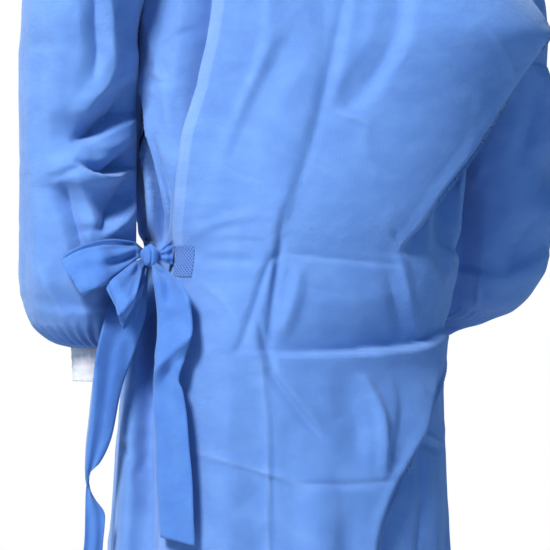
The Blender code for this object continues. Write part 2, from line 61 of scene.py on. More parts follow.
ARMPIT_LEVEL = -245.0
TIE_LEVEL = -481.0
SIDE_SEAM_ANGLE = 92.0
FRONT_DROP_POWER = 1.6
BODY_TOP = 15.0
BODY_HEM = -1250.0
ARC_PER_DEGREE = 3.2

VIEW_RIGHT = np.array((-0.940, 0.342, 0.0))
VIEW_TOWARD = np.array((0.342, 0.940, 0.0))
UP = np.array((0.0, 0.0, 1.0))
VIEW_DISTANCE = 3000.0
# Below 1, it deepens the shadows and the colours, as the reference picture shows them.
VIEW_GAMMA = 0.8
VIEW_AIM_ACROSS = -21.0
VIEW_AIM_LEVEL = -512.5
LENS = 157.0
SENSOR = 36.0

# Row spacing down the body: the level where each stretch ends, and its step. The reference view sees the middle one.
BODY_STRETCHES = ((-50.0, 2.2), (-150.0, 4.5), (-870.0, 3.3), (-1250.0, 5.8))
WRAP_COLUMNS = 146
UNDER_COLUMNS = 90
FRONT_COLUMNS = 96
SLEEVE_COLUMNS_COUNT = 184
SLEEVE_STEP = 2.8

# Plan sections of the body: an ellipse at each level. The front hangs lower by front_drop.
SECTION_COLUMNS = ("level", "centre_x", "half_width", "centre_y", "half_depth", "front_drop")
SECTIONS = (
    (15, 0, 74, 6, 66, 55),
    (0, 0, 96, 4, 76, 45),
    (-25, 0, 146, 0, 92, 32),
    (-50, 0, 188, -2, 106, 22),
    (-100, -2, 204, -2, 121, 10),
    (-170, -4, 204, 0, 130, 2),
    (-245, -8, 205, 0, 140, 0),
    (-360, -20, 212, 0, 150, 0),
    (-481, -17, 201, 0, 155, 0),
    (-620, 8, 206, 0, 158, 0),
    (-860, 17, 216, 0, 166, 0),
    (-1250, 22, 262, 0, 190, 0),
)

# Raglan seams run from the neck to the armpit. The sleeve's top line runs over the shoulder.
RAGLAN_COLUMNS = ("level", "back_angle", "front_angle", "top_x", "top_y", "top_z", "half_depth")
RAGLAN = (
    (15, 42, 132, 76, 4, -1, 52),
    (0, 46, 129, 104, 0, -4, 62),
    (-25, 51, 124, 152, -2, -14, 78),
    (-50, 56, 119, 204, -4, -32, 90),
    (-75, 61, 115, 254, -6, -56, 98),
    (-100, 66, 111, 296, -8, -88, 102),
    (-135, 72, 106, 327, -10, -127, 100),
    (-170, 79, 101, 340, -10, -167, 95),
    (-208, 86, 96, 343.5, -10, -206, 88),
    (-245, 92, 92, 345, -10, -245, 82),
)

# Sleeve sections: ellipses round the arm, from the armpit down. Each end is gathered into its cuff.
SLEEVE_COLUMNS = ("level", "centre_x", "centre_y", "half_width", "half_depth")
SLEEVES = {
    "left": (
        (-245, 272.6, -9.8, 72.4, 82),
        (-290, 272.5, -14, 72, 76),
        (-340, 271, -18, 71.5, 74),
        (-400, 271, -20, 71, 74),
        (-460, 271, -22, 71.5, 75),
        (-510, 271, -24, 71, 76),
        (-545, 270.5, -25, 66, 72),
        (-572, 269, -26, 57, 63),
        (-590, 262, -26, 44, 49),
        (-598, 254, -26, 34.5, 36.5),
        (-601, 249, -26, 29.5, 29.5),
    ),
    "right": (
        (-245, -277.9, -7.3, 67.1, 82),
        (-290, -300, -20, 72, 76),
        (-340, -306, -28, 72, 75),
        (-400, -312, -42, 72, 75),
        (-455, -315, -62, 72, 76),
        (-500, -316, -84, 70, 75),
        (-535, -313, -104, 63, 70),
        (-560, -305, -124, 54, 61),
        (-577, -284, -150, 43, 49),
        (-588, -262, -165, 35, 37),
        (-594, -256, -169, 31.5, 32.5),
        (-597, -254, -171, 30, 30),
    ),
}
SLEEVE_SIDE = {"left": 1, "right": -1}
# Above this half chord, a sleeve row is turned wholly to its raglan seams.
SKEWED_HALF_CHORD = 14.0
CUFF_LENGTH = 42.0
CUFF_TUCK = 1.0
CUFF_TOP_RADIUS = 28.2
CUFF_END_RADIUS = 25.6
CUFF_COLUMNS = 180
CUFF_ROWS = 24
CUFF_RIBS = 36
# The spacing of the cloth's embossed dots.
DOT_PITCH = 2.0

# Lines that run down the wrap: angle at each level.
EDGE_COLUMNS = ("level", "wrap_edge", "under_edge")
EDGES = (
    (15, 36, -18),
    (-50, 40, -14),
    (-170, 43, -11),
    (-226, 46.8, -9),
    (-301, 54, -6),
    (-375, 55.5, -4),
    (-422, 60, -3),
    (-481, 68.5, -2),
    (-543, 70, -2),
    (-608, 67, -2),
    (-721, 62, -1),
    (-839, 59, 0),
    (-1250, 56, 7),
)

# The largest folds. Each pulls cloth round the body by shift, so that its crest lies at angle, and out by out.
# left_reach and right_reach say how far the pull fades to each side, seen from the back.
FOLD_COLUMNS = ("level", "angle", "shift", "out")
FOLDS = {
    "shoulder_drape": (58, 8, (
        (-80, -60, 0, 0), (-100, -62, -3, 5), (-135, -64, -9, 33), (-170, -66, -14, 106), (-212, -67, -15, 126),
        (-250, -64, -14, 100), (-294, -60, -12, 66), (-355, -50, -9, 34), (-421, -34, -7, 16), (-450, -27, -5, 10),
        (-486, -18, 0, 0),
    )),
    "under_drape": (12, 14, (
        (-220, -90, 0, 0), (-270, -82, 0, -6), (-355, -66, 0, -16), (-420, -52, 0, -16), (-520, -45, 0, 0),
    )),
    "left_overhang": (9, 26, (
        (-60, 92, 0, 0), (-195, 92, 1, 3), (-251, 90, 3, 7), (-301, 81, 6, 14), (-346, 76, 8, 17),
        (-389, 72, 7, 15), (-438, 70.5, 4, 10), (-485, 72.5, 0, 0),
    )),
    "side_fold_valley": (7, 7, (
        (-240, 97, 0, 0), (-301, 90, 0, -10), (-346, 85.5, 0, -17), (-389, 82, 0, -19), (-438, 80, 0, -17),
        (-475, 79, 0, -11), (-545, 79, 0, -14), (-605, 75, 0, -16), (-686, 69, 0, -13), (-850, 65, 0, -6),
        (-1000, 63, 0, 0),
    )),
    "side_front_slack": (15, 15, (
        (-250, 114, 0, 0), (-325, 114, 0, 16), (-375, 114, 0, 22), (-410, 113, 0, 14), (-444, 112, 0, 0),
    )),
    "side_fold_ridge": (14, 8, (
        (-260, 100, 0, 0), (-360, 97, 0, 1), (-430, 87, 0, 3), (-481, 86, 0, -3), (-540, 88, 0, 1),
        (-640, 84, 0, 8), (-723, 79, 0, 12), (-900, 76, 0, 14), (-1250, 74, 0, 18),
    )),
    "centre_ridge": (30, 6, (
        (-90, 0, 0, 0), (-183, 2, -1, 4), (-261, 9, -1, 4.5), (-323, 15, -1, 4.5), (-364, 19.5, -1, 5),
        (-413, 24, -1, 6.5), (-457, 28, -1, 8), (-489, 29, -1, 7), (-577, 28, 0, 4), (-640, 27, 0, 0),
    )),
    "hip_overhang": (34, 8, (
        (-560, -60, 0, 0), (-621, -60, -3, 6), (-665, -46, -5, 10), (-704, -37, -6, 12), (-765, -26, -6, 12),
        (-825, -17, -5, 12), (-1000, -9, -3, 10), (-1250, -4, 0, 12),
    )),
    "right_side_pleat": (9, 9, (
        (-620, -80, 0, 0), (-760, -76, 0, 3), (-900, -72, 0, 7), (-1250, -66, 0, 24),
    )),
    "hem_flute_left_back": (12, 12, (
        (-700, 40, 0, 0), (-900, 38, 0, 6), (-1250, 36, 0, 20),
    )),
    "hem_flute_left_front": (14, 14, (
        (-560, 128, 0, 0), (-800, 126, 0, 14), (-1250, 124, 0, 30),
    )),
    "hem_flute_front": (15, 15, (
        (-300, 168, 0, 0), (-560, 170, 0, 10), (-900, 171, 0, 20), (-1250, 172, 0, 30),
    )),
    "hem_flute_right_front": (15, 13, (
        (-420, 214, 0, 0), (-640, 216, 0, 12), (-900, 218, 0, 20), (-1250, 220, 0, 30),
    )),
    "front_left_drag": (16, 12, (
        (-130, 140, 0, 0), (-250, 142, 0, 10), (-400, 138, 0, 12), (-481, 134, 0, 3), (-560, 132, 0, 0),
    )),
    "front_right_drag": (12, 16, (
        (-150, 222, 0, 0), (-290, 224, 0, 11), (-420, 226, 0, 9), (-540, 228, 0, 0),
    )),
}

# The largest sleeve folds: level, angle, reach along the sleeve, reach round it, and height.
# The angle goes round the sleeve from its inner line over the front, outside and back.
SLEEVE_FOLDS = {
    "left": (
        (-345, 262, 30, 55, -13),
        (-388, 258, 22, 60, 9),
        (-425, 270, 26, 50, -12),
        (-500, 300, 60, 26, -7),
        (-520, 215, 50, 24, 5),
        (-300, 120, 40, 50, -8),
        (-430, 110, 40, 60, -10),
        (-385, 60, 25, 60, 8),
    ),
    "right": (
        (-375, 225, 35, 60, -11),
        (-430, 240, 28, 60, 9),
        (-480, 250, 30, 60, -8),
        (-310, 120, 40, 50, -8),
        (-430, 100, 40, 60, -10),
        (-385, 60, 25, 60, 8),
    ),
}

# A crisp crease falls off with its distance raised to this power: near 1, it has flat sides like pressed paper.
CRISP_POWER = 1.25
# Creases of the reference view. Each has its reach to the right and left hand of someone who walks along it, how
# crisp its crest is, how much its crest is made paler, partly as stress whitening and partly as a painted highlight,
# and its path: across, level and height.
BACK_CREASES = {
    "ridge_line": (10, 5, 0.9, 0.1, (
        (65, -169, -2), (51, -244, -2), (41, -291, -2), (24, -361, -1.5), (4, -408, -1), (-10, -442, -2),
        (-14, -486, -5), (-20, -531, -6), (-25, -581, -4), (-25, -609, 0),
    )),
    "right_light_band": (10, 16, 0.5, 0.1, (
        (80, -156, 3.2), (70, -219, 3.2), (58, -275, 3.2), (48, -301, 0),
    )),
    "right_upper_hollow": (34, 18, 0.5, 0.0, (
        (140, -156, -6.6), (133, -206, -8.8), (110, -254, -8.8), (78, -294, -5.6), (55, -306, 0),
    )),
    "right_small_crease": (7, 6, 0.95, 0.5, (
        (51, -305, 0), (66, -312, 2.5), (88, -319, 2.4), (108, -330, 0),
    )),
    "hem_side_hollow": (34, 12, 0.5, 0.0, (
        (-32, -181, 0), (-47, -241, -4.4), (-75, -304, -5.4), (-99, -369, -4.2), (-119, -429, -1.2),
        (-127, -464, 0),
    )),
    "left_light_ridge": (10, 20, 0.6, 0.0, (
        (-25, -156, 1.8), (-41, -241, 2.2), (-70, -311, 1.9), (-92, -356, 1), (-107, -396, 0),
    )),
    "mid_hollow": (18, 34, 0.4, 0.0, (
        (10, -194, 0), (-10, -229, -5), (-37, -276, -6), (-64, -334, -5), (-85, -381, 0),
    )),
    "drape_cut": (6, 44, 0.9, 0.0, (
        (330, -211, -14.4), (280, -284, -16.8), (233, -359, -16.8), (195, -409, -14.4), (169, -449, -10.8),
        (145, -476, -4.8), (134, -489, 0),
    )),
    "drape_lip": (14, 5, 0.9, 0.15, (
        (323, -211, 3), (270, -284, 4), (223, -359, 4), (185, -409, 4), (158, -449, 3), (128, -484, 0),
    )),
    "drape_small_curve": (7, 6, 0.9, 0.4, (
        (242, -204, 0), (258, -221, 2.5), (272, -246, 2.6), (278, -274, 0),
    )),
    "drape_facet": (6, 10, 0.95, 0.2, (
        (124, -456, 0), (130, -469, -4), (138, -486, 0),
    )),
    "drape_stripe": (8, 14, 0.8, 0.1, (
        (124, -461, 0), (134, -491, 4), (146, -544, 5), (159, -576, 4), (168, -594, 0),
    )),
    "drape_stripe_valley": (14, 7, 0.8, 0.0, (
        (118, -496, 0), (128, -534, -4), (140, -566, -5), (153, -594, 0),
    )),
    "under_edge_crease": (12, 10, 0.8, 0.1, (
        (173, -476, 0), (190, -501, -4), (199, -534, -5), (193, -571, 0),
    )),
    "pinch": (9, 6, 0.95, 0.0, (
        (-16, -484, 0), (-27, -496, -5), (-36, -519, -6), (-46, -551, -6), (-60, -591, -5), (-74, -620, 0),
    )),
    "pinch_inverted_v": (10, 5, 0.95, 0.1, (
        (-44, -556, 0), (-37, -584, -4), (-27, -611, -4.8), (-20, -639, -2.4), (-15, -654, 0),
    )),
    "pinch_light_panel": (14, 12, 0.7, 0.1, (
        (-44, -566, 0), (-45, -594, 4), (-41, -621, 3), (-37, -646, 0),
    )),
    "pinch_tail": (12, 5, 0.95, 0.15, (
        (-27, -634, -2.6), (-2, -666, -5.9), (20, -695, -5.2), (40, -721, 0),
    )),
    "pinch_tail_light": (5, 14, 0.8, 0.1, (
        (-20, -634, 2), (5, -666, 3.5), (28, -694, 3), (48, -721, 0),
    )),
    "pressed_centre_line": (7, 6, 1.0, 0.8, (
        (-40, -609, 0), (-36, -649, 2.4), (-30, -731, 2.6), (-30, -856, 2.6), (-34, -1050, 2), (-37, -1235, 1),
    )),
    "centre_line_shade": (6, 10, 0.8, 0.0, (
        (-27, -659, 0), (-24, -719, -1.2), (-24, -794, -1.2), (-24, -869, -0.5),
    )),
    "pressed_waist_line": (5, 9, 1.0, 0.4, (
        (-16, -486, 0), (23, -490, -2.6), (73, -495, -3), (115, -499, -2.4), (140, -501, 0),
    )),
    "pressed_thigh_line_left": (6, 9, 1.0, 0.7, (
        (-127, -732, 0), (-71, -748, 2.6), (-29, -761, 2.8), (10, -774, 2.4),
    )),
    "pressed_thigh_line": (6, 9, 1.0, 0.6, (
        (-30, -761, 2), (19, -776, -2.6), (74, -776, -2.8), (120, -772, -2), (148, -769, 0),
    )),
    "hip_dent": (6, 66, 0.9, 0.0, (
        (-20, -609, -5.6), (23, -609, -12.6), (69, -608, -18.2), (115, -604, -19.6), (153, -600, -18.2),
        (173, -594, -12.6), (194, -579, -5.6),
    )),
    "hip_dent_sill": (22, 6, 0.8, 0.1, (
        (-20, -615, 1.2), (69, -614, 3), (135, -609, 3.6), (175, -601, 3), (200, -586, 1.2),
    )),
    "waist_light_wedge": (14, 16, 0.6, 0.1, (
        (10, -496, 0), (5, -531, 6), (-5, -566, 6), (-16, -596, 0),
    )),
    "hip_light_ridge": (12, 10, 0.8, 0.1, (
        (85, -634, 0), (100, -659, 7), (113, -694, 9.8), (116, -734, 8.4), (115, -774, 0),
    )),
    "hip_left_hollow": (30, 18, 0.4, 0.0, (
        (60, -626, 0), (75, -669, -5.6), (83, -719, -6.7), (80, -769, 0),
    )),
    "hip_right_hollow": (10, 26, 0.5, 0.0, (
        (130, -634, 0), (140, -674, -5), (136, -709, -5), (125, -739, -2), (115, -764, 0),
    )),
    "fold_edge_cut": (5, 30, 0.95, 0.0, (
        (196, -609, 0), (182, -669, -8), (173, -706, -9), (150, -751, -7), (130, -786, -6), (113, -844, -6),
        (105, -919, -5), (100, -1069, -3), (98, -1231, 0),
    )),
    "fold_edge_lip": (12, 4, 0.9, 0.1, (
        (190, -619, 0), (173, -691, 3), (165, -711, 4), (125, -784, 4), (106, -838, 4), (98, -919, 3),
        (93, -1069, 0),
    )),
    "side_star_light": (5, 7, 0.95, 0.6, (
        (165, -708, 0), (176, -715, 3.5), (192, -726, 0),
    )),
    "side_star_dark": (9, 5, 0.9, 0.0, (
        (165, -714, 0), (174, -724, -5), (188, -734, 0),
    )),
    "side_upright_line": (8, 5, 0.9, 0.1, (
        (162, -719, 0), (163, -756, -4), (162, -806, -4), (158, -869, -4), (155, -1044, 0),
    )),
    "side_upright_swell": (14, 16, 0.4, 0.0, (
        (178, -731, 0), (178, -819, 5), (175, -969, 5), (173, -1169, 0),
    )),
    "tie_drag_upper": (10, 12, 0.7, 0.1, (
        (-135, -471, 0), (-107, -454, 2.4), (-70, -441, 2.6), (-27, -436, 0),
    )),
    "tie_drag_level": (8, 9, 0.8, 0.1, (
        (-117, -496, 0), (-87, -494, -2.2), (-55, -496, -2), (-37, -501, 0),
    )),
    "tie_drag_lower": (10, 9, 0.8, 0.1, (
        (-120, -519, 0), (-97, -534, 2.4), (-75, -559, 2.4), (-57, -594, 0),
    )),
    "tie_fine_a": (4, 5, 1.0, 0.3, (
        (-109, -465, 0), (-80, -461, 1.4), (-50, -464, 0),
    )),
    "tie_fine_b": (5, 4, 1.0, 0.3, (
        (-97, -472, 0), (-65, -470, -1.3), (-30, -475, 0),
    )),
    "tie_fine_c": (4, 5, 1.0, 0.3, (
        (-109, -484, 0), (-75, -481, 1.4), (-42, -486, 0),
    )),
    "panel_cross_crinkle_a": (4, 5, 1.0, 0.3, (
        (-67, -636, 0), (-47, -641, -1.6), (-30, -640, 0),
    )),
    "panel_cross_crinkle_b": (5, 4, 1.0, 0.3, (
        (-62, -649, 0), (-45, -652, 1.5), (-25, -649, 0),
    )),
    "wrap_low_swell": (30, 34, 0.2, 0.0, (
        (-90, -581, 0), (-85, -640, 4.2), (-79, -740, 5.6), (-80, -860, 5.6), (-89, -1000, 4.2),
        (-96, -1200, 0),
    )),
    "low_centre_swell": (30, 34, 0.2, 0.0, (
        (20, -700, 0), (30, -790, 5.6), (34, -880, 7), (28, -1000, 7), (21, -1200, 4.2),
    )),
    "low_right_hollow": (24, 20, 0.4, 0.0, (
        (75, -794, 0), (73, -850, -5), (68, -940, -6), (63, -1080, -6), (60, -1230, -3),
    )),
    "under_panel_light_fold": (10, 12, 0.7, 0.1, (
        (-187, -156, 3), (-180, -206, 4), (-167, -256, 4), (-157, -306, 3), (-150, -356, 0),
    )),
    "under_crumple_a": (5, 6, 1.0, 0.2, (
        (-182, -250, 0), (-170, -261, 2.2), (-155, -268, 0),
    )),
    "under_crumple_b": (6, 5, 1.0, 0.2, (
        (-168, -240, 0), (-160, -256, -2.4), (-158, -276, 0),
    )),
    "under_crumple_c": (5, 5, 1.0, 0.2, (
        (-184, -276, 0), (-172, -284, 2), (-160, -299, 0),
    )),
    "under_crumple_d": (5, 5, 1.0, 0.2, (
        (-177, -269, 0), (-165, -274, -1.8), (-147, -271, 0),
    )),
    "under_tip_crease": (5, 6, 1.0, 0.4, (
        (-195, -191, 0), (-188, -184, -2.4), (-181, -176, 0),
    )),
    "side_light_fold": (6, 12, 0.9, 0.1, (
        (-188, -309, 0), (-185, -356, 7.5), (-178, -406, 9), (-174, -450, 7.5), (-171, -476, 0),
    )),
    "side_dark_wall": (18, 5, 0.9, 0.0, (
        (-177, -331, 0), (-165, -379, -9), (-157, -425, -13), (-160, -462, -11), (-165, -481, 0),
    )),
    "side_valley": (16, 8, 0.8, 0.0, (
        (-167, -496, -4), (-167, -534, -9), (-168, -594, -11), (-175, -669, -11), (-178, -719, -9),
        (-177, -794, -5), (-175, -869, 0),
    )),
    "side_ridge": (12, 12, 0.7, 0.1, (
        (-177, -531, 0), (-186, -581, 6), (-195, -631, 7.5), (-200, -694, 7.5), (-202, -769, 6),
        (-207, -869, 4.5), (-212, -1044, 0),
    )),
    "side_cross_crease_a": (6, 9, 0.95, 0.3, (
        (-214, -716, 0), (-206, -731, -4), (-195, -766, -3), (-191, -784, 0),
    )),
    "side_cross_crease_b": (8, 6, 0.95, 0.3, (
        (-195, -771, 0), (-188, -754, -4), (-181, -734, 0),
    )),
    "side_thigh_crease": (8, 8, 0.9, 0.2, (
        (-196, -560, 0), (-200, -610, 3), (-206, -680, 3), (-210, -730, 0),
    )),
}

# Where the under panel alone falls away beneath the wrap's edge.
UNDER_CREASES = {
    "tucked_fold": (34, 10, 0.85, 0.0, (
        (-104, -150, -22), (-107, -196, -30), (-112, -244, -32), (-118, -290, -24), (-128, -335, -8), (-136, -370, 0),
    )),
}


# Creases of the hidden sides. Their paths are angle, level and height.
FRONT_CREASES = {
    "chest_drag_left": (14, 22, 0.5, 0.1, ((104, -262, 0), (118, -250, 5), (136, -226, 6), (156, -190, 0))),
    "chest_drag_right": (22, 14, 0.5, 0.1, ((256, -262, 0), (240, -246, 5), (222, -222, 6), (200, -184, 0))),
    "pressed_front_centre": (7, 7, 1.0, 0.8, (
        (180, -70, 0), (180, -160, 1.6), (180, -500, 1.6), (180, -900, 1.6), (180, -1235, 0.8),
    )),
    "pressed_chest_line": (7, 7, 1.0, 0.8, ((110, -330, 0), (140, -332, 1.5), (180, -330, 1.6), (240, -334, 0))),
    "pressed_hip_line": (7, 7, 1.0, 0.8, ((116, -700, 0), (150, -696, 1.5), (190, -700, 1.6), (246, -694, 0))),
    "waist_cinch_left": (12, 20, 0.5, 0.1, ((96, -484, 0), (112, -480, -4), (132, -478, -4), (150, -470, 0))),
    "waist_fan_a": (10, 14, 0.7, 0.2, ((134, -470, 0), (146, -440, 3.5), (158, -396, 4), (168, -340, 0))),
    "waist_fan_b": (10, 12, 0.7, 0.2, ((136, -484, 0), (152, -492, 3), (172, -506, 3.5), (192, -530, 0))),
    "waist_fan_c": (12, 10, 0.7, 0.2, ((132, -500, 0), (142, -536, 3.5), (152, -586, 4), (158, -650, 0))),
    "belly_hollow": (34, 34, 0.1, 0.0, ((196, -420, 0), (200, -480, -6), (198, -560, -6), (192, -640, 0))),
    "right_waist_break": (12, 26, 0.6, 0.1, ((264, -470, 0), (244, -486, -6), (222, -492, -6), (204, -486, 0))),
    "right_side_drag": (14, 18, 0.6, 0.1, ((262, -300, 0), (250, -350, 5), (240, -410, 5), (234, -470, 0))),
    "thigh_hollow_left": (26, 30, 0.2, 0.0, ((148, -620, 0), (150, -740, -6), (148, -900, -7), (146, -1200, -5))),
    "thigh_hollow_right": (30, 26, 0.2, 0.0, ((196, -640, 0), (194, -780, -6), (195, -940, -7), (196, -1200, -5))),
    "knee_break_left": (10, 24, 0.6, 0.1, ((112, -930, 0), (124, -944, -5), (138, -940, -5), (152, -926, 0))),
    "knee_break_right": (10, 24, 0.6, 0.1, ((206, -960, 0), (220, -972, -5), (234, -966, -4), (246, -950, 0))),
    "neck_drag": (10, 12, 0.6, 0.1, ((166, -60, 0), (160, -96, 3), (150, -130, 3), (140, -160, 0))),
    "neck_drag_right": (12, 10, 0.6, 0.1, ((196, -64, 0), (202, -100, 3), (210, -136, 3), (220, -170, 0))),
}
SIDE_CREASES = {
    "side_slack_low": (26, 26, 0.2, 0.0, ((112, -385, 0), (112, -412, 9), (112, -440, 14), (111, -456, 13), (110, -468, 10), (110, -482, 0))),
    "right_side_upper_break": (10, 26, 0.6, 0.1, ((-90, -470, 0), (-78, -482, -5), (-62, -480, -5), (-50, -468, 0))),
    "right_side_lower_break": (10, 24, 0.6, 0.1, ((-90, -560, 0), (-80, -576, -4), (-68, -580, -4), (-58, -572, 0))),
    "right_hem_drag": (14, 18, 0.4, 0.1, ((-86, -800, 0), (-80, -900, 4), (-78, -1040, 5), (-80, -1220, 3))),
    "left_hem_drag": (16, 14, 0.4, 0.1, ((88, -840, 0), (84, -940, -4), (84, -1080, -5), (86, -1220, -3))),
    "back_yoke_drag_right": (14, 20, 0.4, 0.1, ((-16, -40, 0), (-26, -90, 4), (-34, -140, 5), (-40, -200, 0))),
    "back_yoke_drag_left": (18, 12, 0.4, 0.1, ((30, -30, 0), (34, -80, 3), (36, -120, 3), (36, -160, 0))),
}

SLEEVE_VIEW_CREASES = {
    "left": {
        "shoulder_column": (10, 22, 0.9, 0.1, (
            (-230, -154, 6), (-228, -194, 9), (-227, -234, 9), (-225, -264, 0),
        )),
        "shoulder_valley": (24, 8, 0.8, 0.0, (
            (-246, -154, -9), (-242, -194, -12), (-240, -236, -11), (-250, -274, 0),
        )),
        "upper_dent": (8, 46, 0.95, 0.0, (
            (-282, -344, 0), (-265, -341, -14), (-242, -335, -27), (-215, -321, -34), (-190, -306, -34),
        )),
        "upper_dent_rim": (22, 10, 0.95, 0.1, (
            (-220, -246, 2), (-232, -274, 6), (-250, -299, 8), (-267, -324, 6), (-285, -346, 0),
        )),
        "lower_dent": (4, 34, 0.98, 0.0, (
            (-272, -366, 0), (-260, -376, -14), (-246, -382, -26), (-225, -385, -32), (-207, -382, -32),
            (-190, -374, -28),
        )),
        "lower_sill": (14, 4, 0.9, 0.3, (
            (-267, -376, 0), (-247, -386, 4), (-225, -390, 5), (-206, -388, 5), (-190, -379, 4),
        )),
        "side_crease": (9, 8, 0.95, 0.1, (
            (-305, -391, 0), (-290, -388, -4), (-272, -380, -5), (-262, -376, 0),
        )),
        "upright_dent": (20, 10, 0.9, 0.0, (
            (-290, -396, 0), (-284, -416, -13), (-271, -446, -16), (-261, -476, -14), (-252, -509, -7),
            (-247, -534, 0),
        )),
        "light_band": (14, 34, 0.9, 0.1, (
            (-272, -381, 0), (-265, -401, 8), (-252, -429, 10), (-244, -449, 8), (-238, -461, 0),
        )),
        "dark_curve": (9, 44, 0.95, 0.0, (
            (-246, -456, -5), (-230, -450, -18), (-215, -438, -25), (-202, -419, -27), (-192, -401, -20),
        )),
        "low_light_swell": (16, 7, 0.7, 0.1, (
            (-240, -466, 0), (-222, -456, 4), (-207, -441, 5), (-197, -426, 3),
        )),
        "low_fan_a": (10, 12, 0.8, 0.2, (
            (-310, -499, 0), (-302, -531, 3.5), (-287, -561, 3.5), (-272, -581, 0),
        )),
        "low_fan_b": (12, 14, 0.8, 0.2, (
            (-277, -481, 0), (-272, -514, 4), (-262, -551, 4), (-252, -581, 0),
        )),
        "low_cross": (10, 30, 0.5, 0.0, (
            (-320, -544, 0), (-290, -551, -3), (-260, -551, -4), (-235, -544, -3),
        )),
        "outer_soft_a": (18, 18, 0.4, 0.0, (
            (-322, -244, 0), (-326, -306, 4), (-324, -381, 4), (-322, -444, 0),
        )),
        "outer_soft_b": (14, 20, 0.5, 0.0, (
            (-295, -206, 0), (-300, -269, 4), (-302, -331, 5), (-307, -376, 0),
        )),
        "outer_soft_c": (16, 18, 0.5, 0.0, (
            (-315, -406, 0), (-317, -456, 4), (-312, -506, 4), (-305, -544, 0),
        )),
    },
    "right": {
        "elbow_valley": (34, 30, 0.9, 0.1, (
            (322, -401, -4), (312, -429, -8), (295, -464, -10), (278, -494, -9), (265, -512, 0),
        )),
        "elbow_crease": (26, 8, 0.9, 0.1, (
            (205, -510, 3), (235, -512, 5), (265, -514, 6), (295, -504, 6), (325, -486, 5),
        )),
        "wrist_light_line": (7, 7, 0.95, 0.3, (
            (235, -514, 0), (233, -534, 4), (232, -559, 0),
        )),
        "upper_facet": (20, 22, 0.8, 0.0, (
            (316, -264, 0), (308, -299, -9), (298, -339, -10), (288, -379, 0),
        )),
        "upper_light": (16, 12, 0.8, 0.1, (
            (325, -249, 0), (318, -289, 5), (313, -329, 5), (305, -369, 0),
        )),
        "shade_side": (18, 30, 0.6, 0.0, (
            (213, -419, -5), (210, -481, -7), (205, -544, -6), (200, -581, 0),
        )),
        "low_swag": (8, 22, 0.9, 0.1, (
            (205, -549, 0), (228, -564, -5), (253, -566, -5), (275, -551, 0),
        )),
        "wrist_lift": (26, 22, 0.4, 0.0, (
            (180, -586, -10), (200, -589, -12), (218, -591, -7), (233, -596, 0),
        )),
    },
}
# Creases round each sleeve's hidden side: angle round the sleeve, level and height.
SLEEVE_ROUND_CREASES = {
    "elbow_break": (9, 26, 0.6, 0.1, ((40, -392, 0), (80, -404, -6), (120, -402, -6), (165, -388, 0))),
    "elbow_lower": (26, 9, 0.6, 0.1, ((60, -446, 0), (100, -440, -5), (140, -446, -5), (180, -458, 0))),
    "forearm_drag": (12, 14, 0.5, 0.1, ((150, -440, 0), (138, -480, 4), (128, -520, 4), (122, -562, 0))),
    "upper_drag": (14, 14, 0.4, 0.1, ((110, -200, 0), (106, -250, 4), (96, -310, 4), (84, -360, 0))),
    "inner_drag": (10, 12, 0.5, 0.1, ((30, -280, 0), (36, -320, 4), (50, -360, 4), (70, -396, 0))),
    "shoulder_fold": (16, 12, 0.4, 0.1, ((200, -110, 0), (206, -170, 4), (204, -230, 4), (198, -290, 0))),
}
GATHER_PLEATS = 23
GATHER_TOP = -556.0
GATHER_HEIGHT = 2.2

# The ties' paths in the reference view: across to its right, level, and toward the viewer.
# The width's direction is turned from straight up by roll, then about the upright by yaw, and gathered to width.
RIBBON_COLUMNS = ("across", "level", "toward", "roll", "yaw", "width")
RIBBONS = {
    "tie_loop_upper": (
        (-193, -484, 124, 6, 0, 15), (-214, -493, 138, 8, 0, 34), (-236, -500, 160, 12, 0, 47),
        (-258, -507, 168, 24, 0, 50), (-275, -517, 166, 34, 0, 50), (-273, -511, 157, 32, 0, 50),
        (-255, -499, 151, 20, 0, 48), (-224, -486, 134, 8, 0, 36), (-193, -479, 116, 2, 0, 15),
    ),
    "tie_loop_lower": (
        (-191, -499, 127, 40, 0, 12), (-201, -516, 152, 44, 0, 26), (-211, -534, 168, 40, 0, 40),
        (-220, -548, 170, 28, 0, 46), (-218, -557, 162, 20, 0, 46), (-207, -550, 152, 18, 0, 42),
        (-197, -530, 140, 28, 0, 30), (-187, -509, 124, 36, 0, 13),
    ),
    "tie_tail_left": (
        (-187, -508, 116, 62, 0, 15), (-196, -532, 124, 70, 0, 30), (-207, -562, 130, 78, 0, 46),
        (-218, -602, 134, 85, 0, 44), (-231, -655, 134, 86, 0, 34), (-240, -712, 134, 90, 0, 30),
        (-249, -752, 134, 120, 0, 20), (-254, -766, 134, 160, 0, 14), (-252, -782, 134, 205, 0, 18),
        (-246, -812, 134, 258, 0, 24), (-248, -850, 133, 268, 0, 22), (-256, -900, 131, 276, 0, 30),
    ),
    "tie_tail_right": (
        (-168, -503, 127, 80, 10, 14), (-158, -520, 148, 96, 14, 31), (-148, -547, 158, 98, 20, 44),
        (-146, -580, 161, 90, 24, 46), (-152, -612, 163, 80, 24, 40), (-156, -634, 165, 60, 20, 36),
        (-154, -660, 167, 84, 24, 40), (-150, -715, 171, 88, 28, 46), (-146, -790, 174, 88, 28, 50),
        (-143, -846, 176, 80, 28, 48),
    ),
    "tie_back_run": (
        (-149, -484, 115, 0, 0, 30), (-157, -486, 118, 0, 0, 22), (-164.5, -488, 117, 0, 0, 13),
    ),
}
KNOT_ROWS = {
    "tie_loop_upper": (0, -1), "tie_loop_lower": (0, -1), "tie_tail_left": (0,), "tie_tail_right": (0,),
    "tie_back_run": (-1,),
}
